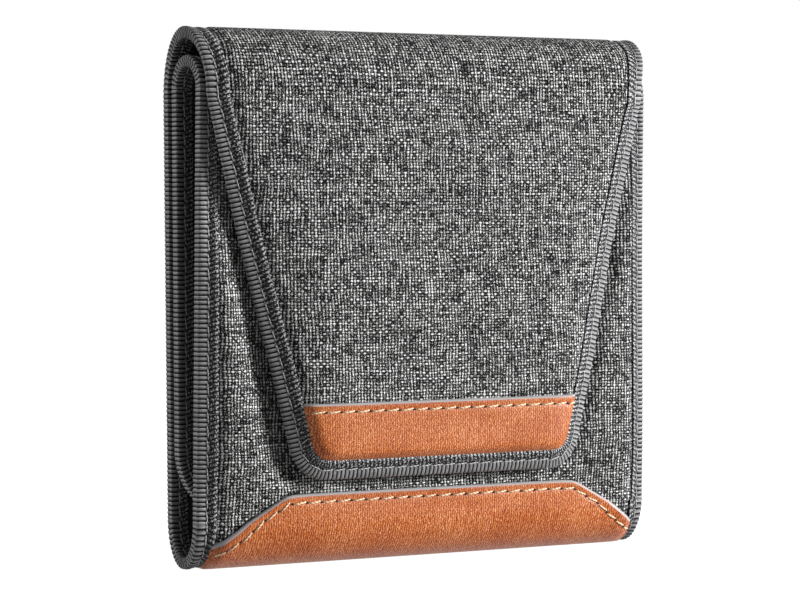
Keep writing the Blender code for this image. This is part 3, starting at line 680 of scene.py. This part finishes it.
# Dark marks of painted shade at each needle hole in the leather.
pierce_shade = sewing_thread("pierce_painted_shade", "#4a1c0c", "#2a0e05", 0.5), "leather"


# Cloth of the panels


def cloth_sheet(obj):
    """Works out a sewn sheet's flat size and does nothing more with it: its flat area is that of one
    face, and its flat size that of its own coordinates, or as long as the area needs where it lies
    outside the fold's middle line."""
    spots = [loop.uv for loop in obj.data.uv_layers.active.data]
    width, length = ((max(s[i] for s in spots) - min(s[i] for s in spots)) * mm for i in (0, 1))
    area = sum(polygon.area for polygon in obj.data.polygons) / 2
    length = max(length, area / width)


def settle_cloth(obj, body, node, finish):
    """The canvas lies over a thin foam, apart from the inner panel's."""
    settle(obj, body, [node], finish)
    if finish is canvas and body != "inner_panel":
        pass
    else:
        cloth_sheet(obj)


def straight_cloth(name, face_at, high, body, node, inward, finish):
    """Cloth between two straight sides."""
    reach = half_width - binding_half

    def spot(across, along):
        x, z = mix(across, -reach, reach), mix(along, bottom_z, high)
        return place(x, face_at(x, z), z), x, z

    settle_cloth(shell(name, 88, 72, spot, cloth_thick, inward), body, node, finish)


def hand_sewn_back(x, z):
    return back_cloth(x, z) + 0.12 * waver(x, z, 1, 25)


def front_lining_inside(x, z):
    return front_lining(x, z) + lining_thick


for piece in (
    ("back_cloth", hand_sewn_back, top_z, "back_panel", "back_outer_cloth", 1, canvas),
    ("front_cloth", front_cloth, inner_top_z, "front_panel", "front_outer_cloth", -1, canvas),
    ("back_inner_lining", back_lining, top_z, "back_panel", "back_lining", -1, lining),
    ("front_inner_lining", front_lining_inside, inner_top_z, "front_panel", "front_lining", 1, lining),
):
    straight_cloth(*piece)


def upright(x, z):
    return x


def shaped_cloth(name, face_at, outline, body, node, inward, finish, lean=upright):
    """Cloth that fills an outline with rounded lower corners."""
    low = outline.base + binding_half

    def spot(across, along):
        z = mix(min(along, 1) ** 1.6, low, outline.top)
        x = mix(across, -1, 1) * outline.half(z, binding_half)
        return place(lean(x, z), face_at(x, z), z), x, z

    settle_cloth(shell(name, 84, 76, spot, cloth_thick, inward), body, node, finish)


for piece in (
    ("flap_cloth", flap_cloth, flap_outline, "flap", "flap_outer_cloth", -1, canvas, flap_askew),
    ("flap_inner_lining", flap_lining, flap_outline, "flap", "flap_lining", 1, lining, flap_askew),
    ("inner_cloth", inner_cloth, inner_outline, "inner_panel", "inner_outer_cloth", 1, canvas),
    ("inner_inner_lining", inner_lining, inner_outline, "inner_panel", "inner_lining", -1, lining),
):
    shaped_cloth(*piece)


# Cloth of the folds


def bottom_leg(x, turn, kind):
    """Offset of the panels' cloth (0) or lining (1) from the edge line where the bottom fold starts."""
    if turn < 0.5:
        return (back_cloth, back_lining)[kind](x, bottom_z) - back_edge(bottom_z)
    return front_edge(bottom_z) - (front_cloth, front_lining_inside)[kind](x, bottom_z)


def taper_at(fold, turn):
    """The flap starts to narrow on the front of the top fold."""
    return (half_width - flap_half_top) * smooth((turn - 0.5) / 0.5) if fold is top_fold else 0.0


def fold_x(fold, x, turn):
    """The top fold leads over to the flap's askew top, sooner on its left than on its right."""
    if fold is not top_fold:
        return x
    return askew(x, mix((x / half_width + 1) / 2, smooth(turn), smooth((turn - 0.7) / 0.3)))


def top_fold_plump(turn):
    """The padding's height round the top fold, from the back panel's to the flap's."""
    if turn < 0.5:
        return mix(smooth(turn * 2), back_plump, top_plump)
    return mix(smooth(turn * 2 - 1), top_plump, flap_plump)


def fold_offset(fold, x, turn, kind):
    """Offset of the cloth (0) or the lining's inner face (1) from the laminate's middle."""
    plain = (cloth_thick, -gap - lining_thick)[kind]
    if fold is top_fold and kind == 0:
        pillow = mix(smooth(turn * 2), 0.3, 0.65)
        tape = mix(smooth(turn), binding_wide, flap_tape)
        plain += plump(side(x) - taper_at(fold, turn), top_fold_plump(turn), pillow, tape)
    if fold is not bottom_fold:
        return plain
    return plain + (bottom_leg(x, turn, kind) - plain) * cos(pi * turn) ** 2


def fold_cloth(fold_name, fold, halves, run_start):
    for part, low, high, bodies in halves:
        for kind, finish in enumerate((canvas, lining)):

            def spot(across, along):
                turn = mix(along, low, high)
                x = mix(across, -1, 1) * (half_width - binding_half - taper_at(fold, turn))
                y, z = fold.at(turn, fold_offset(fold, x, turn, kind))
                spot_at = place(fold_x(fold, x, turn), y, max(z, 0))
                return spot_at, x, run_start + fold.length * (1 - turn)

            words = ("cloth", "lining")[kind]
            thick = (cloth_thick, lining_thick)[kind]
            wall_way = (1, -1)[kind] if fold.tall > 0 else (-1, 1)[kind]
            obj = shell(f"{fold_name}_{part}_{words}", 88, 16, spot, thick, wall_way)
            cloth_sheet(settle(obj, bodies, [f"{fold_name}_{words}"], finish))


fold_cloth("top_fold", top_fold, top_halves, top_z)
fold_cloth("bottom_fold", bottom_fold, bottom_halves, 0)
fold_cloth("inner_fold", inner_fold, inner_halves, inner_top_z)


# Ribbed bindings

# The tape's section from its selvedge to its folded edge: the way in and the offset, then mirrored.
binding_line = (
    (4.75, 0.62), (4.7, 0.98), (4.4, 1.06), (3.7, 1.08), (3.1, 1.04), (2.7, 0.9), (2.4, 0.82),
    (2.1, 0.98), (1.65, 1.22), (1.1, 1.32), (0.55, 1.35), (0.16, 1.26), (0.0, 0.92), (0.14, 0.42),
)
binding_line += ((0.3, 0.0),) + tuple((inward, -offset) for inward, offset in reversed(binding_line))
tape_wall = 0.42


def pressed(inward, offset, share):
    """The flap's tape is pressed flat at the front, so its edge leans back under it."""
    return inward + share * 0.55 * min(max((0.4 - offset) * 1.3, 0.0), 1.8)


def profile_runs():
    """Distance of each profile point from the folded edge, and the way out of the tape there."""
    middle = len(binding_line) // 2
    points = [Vector(p) for p in binding_line]
    runs = [0.0] * len(points)
    for i in range(middle + 1, len(points)):
        runs[i] = runs[i - 1] - (points[i] - points[i - 1]).length
    for i in range(middle - 1, -1, -1):
        runs[i] = runs[i + 1] + (points[i] - points[i + 1]).length
    ways = []
    for i in range(len(points)):
        before, after = points[max(i - 1, 0)], points[min(i + 1, len(points) - 1)]
        along = (after - before).normalized()
        ways.append(Vector((along.y, -along.x)))
    return runs, ways


binding_runs, binding_ways = profile_runs()
# Each bound edge's seam, to be sewn once all tapes are on.
seams = []


def rib_height(run):
    """A rounded rib with a narrow groove."""
    return abs(sin(pi * run / rib_pitch)) ** 0.8


def widened(inward, wide):
    """A wider tape has a wider selvedge, and its ribs stay as they are."""
    return inward + (wide - binding_wide) * smooth((inward - 2) / 2.7)


def raised(inward, offset, height):
    """On the outer side the tape follows the padding's slope."""
    return offset + (height * wedge(inward) if offset > 0 else 0.0)


def binding(name, length, station, run_start, where, nodes, falls=1):
    """Ribbed tape folded round an edge: its section is swept along the edge and rises at each rib.
    falls is the way in which the rib pattern runs."""
    rows = max(8, round(length / rib_pitch * 5))
    count = len(binding_line) - 1

    def spot(across, along):
        index = round(across * count)
        run = run_start + along * length
        inward, offset = binding_line[index]
        on_ribs = smooth((2.6 - inward) / 0.5)
        rise = (rib_height(run) - 0.5) * mix(on_ribs, 0.06, 0.28)
        rise += 0.03 * noise.noise(Vector((run / 3, index / 4, 0)))
        way = binding_ways[index]
        spot_at = station(along * length, inward + way.x * rise, offset + way.y * rise)
        return spot_at, falls * run, binding_runs[index]

    middle = length / 2
    corner = station(middle, 0, 0)
    faces_way = (station(middle + 0.1, 0, 0) - corner).cross(station(middle, 0, 1) - corner)
    wall_way = -1 if faces_way.dot(corner - station(middle, 1, 0)) > 0 else 1
    settle(shell(name, count, rows, spot, tape_wall, wall_way), where, nodes, tape)
    seams.append((name.replace("edge_", "").replace("binding", "seam"), station, length, where))


# The front's right-hand edge stands a little further out at its foot, and further in at its top.
fuller_corner, drawn_in = 0.6, 0.7


def edge_station(edge_at, sign, low, hand):
    """Places on a straight side's tape, by the run along it, the way in and the offset outwards."""
    def station(run, inward, offset):
        z = low + run
        lift = back_plump
        if sign < 0:
            inward *= right_tape_share if hand > 0 else 1
            lift = front_height(hand * (half_width - binding_wide), z) * front_ends(z)
            if hand > 0:
                inward -= fuller_corner - (fuller_corner + drawn_in) * smooth((z - 20) / 80)
        y = edge_at(z) + sign * raised(inward, offset, lift)
        return place(hand * (half_width - inward), y, z)

    return station


def edge_binding(panel, edge_at, sign, low, high, body):
    for word, hand in (("left", -1), ("right", 1)):
        station = edge_station(edge_at, sign, low, hand)
        name, node = f"{panel}_{word}_binding", f"{panel}_binding_{word}"
        binding(name, high - low, station, low, body, [node], -1)


edge_binding("back", back_edge, 1, bottom_z, top_z, "back_panel")
edge_binding("front", front_edge, -1, bottom_z, inner_top_z, "front_panel")


def leg_plump(fold, turn):
    """The padding's height on a fold's binding, the same as the panels' where it meets them."""
    if fold is top_fold:
        return top_fold_plump(turn)
    if fold is inner_fold:
        return 0.0
    panel = back_plump if turn < 0.5 else front_plump * front_ends(bottom_z)
    return panel * cos(pi * turn) ** 2


def fold_station(fold, low, hand):
    """The same places round one half of a fold."""
    def station(run, inward, offset):
        turn = low + run / fold.length
        if fold is top_fold:
            inward = widened(inward, mix(smooth(turn), binding_wide, flap_tape))
            inward = pressed(inward, offset, smooth(turn))
        y, z = fold.at(turn, raised(inward, offset, leg_plump(fold, turn)))
        x = hand * (half_width - taper_at(fold, turn) - inward)
        if hand > 0 and fold is bottom_fold:
            x += fuller_corner * smooth(turn * 2 - 1)
        if hand > 0 and fold is inner_fold:
            x -= drawn_in * smooth(turn)
        return place(fold_x(fold, x, turn), y, max(z, 0.02))

    return station


def fold_binding(fold_name, fold, halves, run_start):
    for word, hand in (("left", -1), ("right", 1)):
        for part, low, high, bodies in halves:
            name, node = f"{fold_name}_{part}_{word}_binding", f"{fold_name}_binding_{word}"
            length, start = fold.length * (high - low), run_start + fold.length * low
            binding(name, length, fold_station(fold, low, hand), start, bodies, [node])


fold_binding("top_fold", top_fold, top_halves, top_z)
fold_binding("bottom_fold", bottom_fold, bottom_halves, 0)
fold_binding("inner_fold", inner_fold, inner_halves, 0)


def outline_station(outline, edge_at, sign, height, wide=binding_wide, lean=upright, pressing=0):
    """The same places round a panel with rounded corners."""
    def station(run, inward, offset):
        inward = pressed(widened(inward, wide), offset, pressing)
        (x, z), (way_x, way_z) = outline.at(run)
        way_z *= smooth(min(run, outline.length - run) / 6)
        x, z = x + way_x * inward, z + way_z * inward
        y = edge_at(x, min(z, outline.top)) + sign * raised(inward, offset, height)
        return place(lean(x, z), y, z)

    return station


round_flap = outline_station(flap_outline, flap_edge, -1, flap_plump, flap_tape, flap_askew, 1)
round_inner = outline_station(inner_outline, lambda x, z: inner_edge(z), 1, 0.0)
binding("flap_edge_binding", flap_outline.length, round_flap, 0, "flap", ["flap_binding"])
binding("inner_edge_binding", inner_outline.length, round_inner, 0, "inner_panel", ["inner_binding"])


# Leather


leather_thick, leather_wall, painted_edge, seam_in = 1.3, 0.3, 0.9, 2.15
tucked = 0.5  # how far the patch runs under the flap's tape


def leather_lift(inside, beside):
    """Height of the leather over the cloth: rounded at its painted edge, pressed in along the seam,
    and thin where it runs under the tape at its sides."""
    turn = min(max(inside / painted_edge, 0.0), 1.0)
    lift = mix(sqrt(1 - (1 - turn) ** 2), 0.3, leather_thick)
    lift -= 0.16 * exp(-(((inside - seam_in) / 0.55) ** 2))
    return mix(smooth(beside / 1.0), 0.35, lift)


def patch_half(z):
    return flap_outline.half(z, flap_tape - tucked)


patch_high = 14.6
patch_base = flap_tip + flap_tape - tucked
patch_top = patch_base + patch_high
patch_outline = Outline(
    patch_top,
    patch_base,
    patch_half(patch_top),
    patch_half(patch_top) - flap_taper * (patch_top - patch_base),
    flap_radius - flap_tape + tucked,
)


def patch_place(x, z, sink=0.0):
    beside = min(patch_outline.half(z) - abs(x), z - patch_base)
    lift = leather_lift(patch_top - z, beside)
    return place(x, flap_cloth(x, z) - lift + sink, z)


def patch_piece():
    """The patch fills the flap's tip inside the tape, which holds its sides and its foot."""

    def spot(across, along):
        z = mix(1 - (1 - along) ** 1.7, patch_base, patch_top)
        x = mix(across, -1, 1) * patch_outline.half(z)
        return patch_place(x, z), x, patch_top - z

    obj = shell("flap_leather_piece", 96, 52, spot, leather_wall, -1)
    settle(obj, "flap", ["flap_leather_patch"], leather)


patch_piece()


def trim_edge(x):
    """Height of the leather's upper edge on the front: level in the middle, sloping to both sides."""
    slope = (trim_peak - trim_low) / (half_width - binding_wide - trim_flat)
    past = abs(x) - trim_flat
    return trim_peak - slope * (past + hypot(past, 1.6)) / 2


leg_run = bottom_fold.length / 2


def trim_run(x):
    """The same edge as a distance along the cloth from the middle of the bottom fold."""
    z = trim_edge(x)
    if z >= bottom_z:
        return leg_run + z - bottom_z
    drop = asin(min((bottom_z - z) / -bottom_fold.tall, 1)) / pi
    return leg_run * (1 - 2 * drop)


trim_reach = half_width - 3.6


def trim_inside(x, run):
    """Distance in from the leather's upper edge: the sloping part is nearer than it is high."""
    sloping = smooth((abs(x) - trim_flat) / 1.5)
    return (trim_run(x) - run) * mix(sloping, 1.0, 0.86)


def trim_place(x, run, face, sink=0.0):
    """A place on the wrapped leather: face is 1 on the front and -1 on the back."""
    lift = leather_lift(trim_inside(x, run), trim_reach - abs(x)) - sink
    x += fuller_corner * 1.5 * smooth((x - trim_flat) / 18)
    if run <= leg_run:
        turn = 0.5 + face * 0.5 * run / leg_run
        y, z = bottom_fold.at(turn, fold_offset(bottom_fold, x, turn, 0) + lift)
        return place(x, y, max(z, 0))
    z = bottom_z + run - leg_run
    y = front_cloth(x, z) - lift if face > 0 else back_cloth(x, z) + lift
    return place(x, y, z)


def trim_piece(word, face, bodies, nodes):
    def spot(across, along):
        x = mix(across, -trim_reach, trim_reach)
        run = trim_run(x) * (1 - (1 - along) ** 1.7)
        return trim_place(x, run, face), x, trim_inside(x, run)

    obj = shell(f"bottom_leather_{word}", 140, 60, spot, leather_wall, -face)
    settle(obj, bodies, nodes, leather)


trim_piece("front", 1, bottom_halves[1][3], ["bottom_trim_front", "bottom_trim_fold"])
trim_piece("back", -1, bottom_halves[0][3], ["bottom_trim_back"])


# Stitches


def stitch_mesh(length, thick):
    """One stitch, modelled once: a short thread, thin where it enters the cloth."""
    bpy.ops.object.select_all(action="DESELECT")
    bpy.ops.mesh.primitive_cylinder_add(
        vertices=6, radius=thick / 2, depth=length, end_fill_type="TRIFAN"
    )
    obj = bpy.context.object
    bpy.ops.object.mode_set(mode="EDIT")
    for cut in (length * 0.3, -length * 0.3):
        bpy.ops.mesh.select_all(action="SELECT")
        bpy.ops.mesh.bisect(plane_co=(0, 0, cut), plane_no=(0, 0, 1))
    bpy.ops.object.mode_set(mode="OBJECT")
    layer = obj.data.uv_layers.active
    for vertex in obj.data.vertices:
        end = abs(vertex.co.z) / (length / 2)
        if end > 0.9:
            vertex.co.x, vertex.co.y = vertex.co.x * 0.55, vertex.co.y * 0.55 - thick * 0.55
    for loop in obj.data.loops:
        spot = obj.data.vertices[loop.vertex_index].co
        layer.data[loop.index].uv = (spot.z, spot.x)
    mesh = obj.data
    bpy.data.objects.remove(obj)
    return mesh


def stitches(name, spots, length, thick, where, thread):
    """A row of stitches: spots gives each one's middle, its run along the seam and the way out."""
    template = stitch_mesh(length, thick)
    shape = bmesh.new()
    for middle, along, out in spots:
        along, out = along.normalized(), out.normalized()
        across = out.cross(along).normalized()
        out = along.cross(across)
        turned = Matrix((across, out, along)).transposed().to_4x4()
        count = len(shape.verts)
        shape.from_mesh(template)
        shape.verts.ensure_lookup_table()
        move = Matrix.Translation(middle) @ turned @ Matrix.Scale(mm, 4)
        for vertex in shape.verts[count:]:
            vertex.co = move @ vertex.co
    mesh = bpy.data.meshes.new(name)
    shape.to_mesh(mesh)
    shape.free()
    obj = new_object(name, mesh)
    bpy.data.meshes.remove(template)
    select_only(obj)
    bpy.ops.object.shade_smooth_by_angle(angle=radians(60))
    settle(obj, where, [], thread)


def along_line(points, pitch, start=0.0):
    """Even steps along a line of (place, way out) pairs: each one's middle, run and way out."""
    found, travelled, target = [], 0.0, start + pitch / 2
    for (a, out_a), (b, out_b) in zip(points, points[1:]):
        step = (b - a).length
        while step > 0 and travelled + step >= target:
            share = (target - travelled) / step
            found.append((a.lerp(b, share), b - a, out_a.lerp(out_b, share)))
            target += pitch
        travelled += step
    return found


stitch_in, stitch_off, stitch_pitch = 2.42, 1.03, 3.55


def binding_stitches(name, station, length, where):
    """Both faces of a bound edge show the seam in the tape's valley."""
    spots, steps = [], max(4, round(length))
    for face in (1, -1):
        line = []
        for i in range(steps + 1):
            run = length * i / steps
            base = station(run, stitch_in, face * stitch_off)
            line.append((base, (base - station(run, stitch_in, 0)).normalized()))
        for middle, along, out in along_line(line, stitch_pitch * mm):
            spots.append((middle, along + out.cross(along) * 0.1, out))
    stitches(name, spots, 3.3, 0.28, where, grey_thread)


def sewing_order(seam):
    """The left side first, then the right side, then round the two tips."""
    return [side not in seam[0] for side in ("left", "right")]


for seam in sorted(seams, key=sewing_order):
    binding_stitches(*seam)


# Stitches on leather: their pitch, and how deep a thread or the dark mark of painted shade at a
# needle hole is set into the leather.
leather_pitch, leather_sink = 4.2, -0.12


def leather_stitches(name, line, where):
    """Cream thread, each stitch leaning a little, and between two of them a dark mark of painted
    shade at the needle hole.
    """
    spots = []
    for middle, along, out in along_line(line, leather_pitch * mm):
        across = out.cross(along)
        spots.append((middle, along + across * 0.14, out))
    stitches(name + "_thread", spots, 3.6, 0.5, where, cream_thread)
    # Each needle hole gets a small dark stitch-shaped mark, which is painted shade.
    hole_shades = along_line(line, leather_pitch * mm, leather_pitch / 2 * mm)
    stitches(name + "_holes", hole_shades, 0.8, 0.55, where, pierce_shade)


def patch_stitches():
    z = patch_top - seam_in
    reach = patch_outline.half(z) - 1.2
    line = []
    for i in range(161):
        middle = patch_place(mix(i / 160, -reach, reach), z, leather_sink)
        line.append((middle, Vector((0, -1, 0))))
    leather_stitches("patch_seam", line, "flap")


patch_stitches()


def trim_stitches(word, face, bodies):
    """One row follows the leather's edge."""
    line = []
    for i in range(281):
        x = mix(i / 280, -trim_reach + 0.8, trim_reach - 0.8)
        run = trim_run(x) - seam_in * mix(smooth((abs(x) - trim_flat) / 1.5), 1.0, 1.16)
        out = trim_place(x, run, face, -1.0) - trim_place(x, run, face)
        line.append((trim_place(x, run, face, leather_sink), out.normalized()))
    leather_stitches(f"bottom_{word}_seam", line, bodies)


trim_stitches("front", 1, bottom_halves[1][3])
trim_stitches("back", -1, bottom_halves[0][3])


# Pockets and the belt loop


pocket_reach, pocket_low, pocket_high, pocket_rise = half_width - 8, 24.0, 102.0, 16.0
mouth_tape, mouth_overlap = 7.9, 0.2


def pocket_piece(name, lining_at, toward, plane, mouth_up, body):
    """A filter pocket: sewn down round three sides, standing open, with an elastic mouth."""

    def strip(words, rows, low, high, thick, rounded=0.0):
        def spot(across, along):
            x, z = mix(across, -pocket_reach, pocket_reach), mix(along, low, high)
            closed = z - pocket_low if mouth_up else pocket_high - z
            lift = smooth((pocket_reach - abs(x)) / pocket_rise) * smooth(closed / pocket_rise)
            return place(x, mix(lift, lining_at(x, z) + toward * gap, plane), z), x, z

        return shell(f"{name}_pocket_{words}", 78, rows, spot, thick, -toward, rounded)

    deep = mouth_tape - mouth_overlap
    cloth = (pocket_low, pocket_high - deep) if mouth_up else (pocket_low + deep, pocket_high)
    mouth = pocket_high - mouth_tape if mouth_up else pocket_low
    obj = strip("cloth", 60, *cloth, lining_thick)
    cloth_sheet(settle(obj, body, [f"{name}_pocket"], lining))
    obj = strip("elastic", 8, mouth, mouth + mouth_tape, 1.1, 0.15)
    settle(obj, body, [f"{name}_pocket_mouth_tape"], elastic)


pocket_piece("back", back_lining, -1, back_pocket_face, True, "back_panel")
pocket_piece("inner", inner_lining, -1, inner_pocket_face, True, "inner_panel")
pocket_piece("front", front_lining_inside, 1, front_pocket_face, False, "front_panel")


def belt_loop():
    """Webbing sewn down at both ends, standing off the back between them."""
    low, high, half, thick = 42.0, 108.0, 19.0, 1.2
    base = back_cloth_face + 0.1
    box_half, box_high = 17, 9

    def spot(across, along):
        z, x = mix(along, low, high), mix(across, -half, half)
        lift = smooth((min(z - low, high - z) - 12) / 8)
        return place(x, mix(lift, base, loop_inner) + thick, z), x, z

    obj = shell("belt_loop_webbing", 24, 90, spot, thick, 1, 0.25)
    settle(obj, "back_panel", ["belt_loop"], webbing)
    spots = []
    # At each end the thread runs round a box and across it both ways.
    for bottom in (low + 1.5, high - 1.5 - box_high):
        line = []
        for hand, up in ((-1, 0), (1, 0), (1, 1), (-1, 1), (-1, 0), (1, 1), (1, 0), (-1, 1)):
            corner = place(hand * box_half, base + thick + 0.08, bottom + up * box_high)
            line.append((corner, Vector((0, 1, 0))))
        for pair in zip(line, line[1:]):
            spots += along_line(list(pair), 2.8 * mm)
    stitches("belt_loop_stitching", spots, 2.3, 0.4, "back_panel", (grey_thread[0], "webbing"))


belt_loop()


def closure_tapes():
    for name, node, body, lift, facing in (
        ("closure_loop_tape", "front_loop_tape", "front_panel", 0.8, -1),
        ("closure_hook_tape", "flap_hook_tape", "flap", 1.1, 1),
    ):

        def spot(across, along):
            x, z = mix(across, -30, 30), mix(along, closure_top - 20, closure_top)
            return place(x, front_cloth(x, z) - lift, z), x, z

        obj = shell(name, 40, 14, spot, 0.5, facing, 0.12)
        settle(obj, body, [node], hook_pile)


closure_tapes()


# The foam inside the panels shows nowhere, but it keeps a finish of its own


def closed_cell_foam():
    """Polyethylene foam, skived: dull, with cells half a millimetre wide."""
    look, add = new_look("skived_closed_cell_foam", 0.95, 0.1)
    cells = add("TexVoronoi", Vector=add("TexCoord", out=3), Scale=1800.0)
    colour = add("ValToRGB", cells, stops=[(0.0, "#1c1c1c"), (0.8, "#3a3a3a")])
    return finish_look(look, colour, cells, 0.3, 0.1)


foam = closed_cell_foam()
for name in ("back_foam", "front_foam", "flap_foam"):
    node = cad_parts[name]
    for slot_item in node.material_slots:
        slot_item.material = foam


# Floor and light


def rays_to_the_eye(add):
    """One for rays from the camera, and for those that gloss or glass sends on."""
    rays = add("LightPath").node.outputs
    seen = add("MAXIMUM", rays["Is Camera Ray"], rays["Is Glossy Ray"])
    return add("MAXIMUM", seen, rays["Is Transmission Ray"])


def floor():
    """A pale studio floor that the camera sees as white, but for the case's shadow."""
    bpy.ops.object.select_all(action="DESELECT")
    bpy.ops.mesh.primitive_plane_add(size=30, location=(0, 0, -0.0002))
    obj = bpy.context.object
    obj.name = "floor"
    look, add = new_look("pale_paper_floor", 0.9, 0.1)
    tree = look.node_tree
    shader = tree.nodes["Principled BSDF"]
    shader.inputs["Base Color"].default_value = hex_colour("#b4b4b4")
    glow = add("MULTIPLY", rays_to_the_eye(add), 0.96)
    tree.links.new(glow, shader.inputs["Emission Strength"])
    shader.inputs["Emission Color"].default_value = (1, 1, 1, 1)
    obj.data.materials.append(look)


floor()


def light(name, spot, target, size, power):
    data = bpy.data.lights.new(name, "AREA")
    data.size = size
    data.energy = power
    obj = new_object(name, data)
    obj.location = spot
    obj.rotation_euler = (Vector(target) - Vector(spot)).to_track_quat("-Z", "Y").to_euler()


light("key_softbox", (0.97, -0.66, 0.32), (0, 0, 0.07), 0.35, 25.3)
light("rim_softbox", (-0.9, 0.25, 0.3), (0, 0, 0.06), 0.5, 3)
light("top_softbox", (0.0, -0.1, 1.0), (0, 0, 0.08), 0.6, 0.3)


def studio_world():
    world = bpy.data.worlds.new("studio")
    bpy.context.scene.world = world
    world.use_nodes = True
    tree = world.node_tree
    add = partial(add_node, tree)
    background = tree.nodes["Background"]
    strength = add("MULTIPLY_ADD", rays_to_the_eye(add), 0.94, 0.06)
    background.inputs["Color"].default_value = (1, 1, 1, 1)
    tree.links.new(strength, background.inputs["Strength"])


studio_world()
bpy.context.scene.view_settings.view_transform = "Standard"
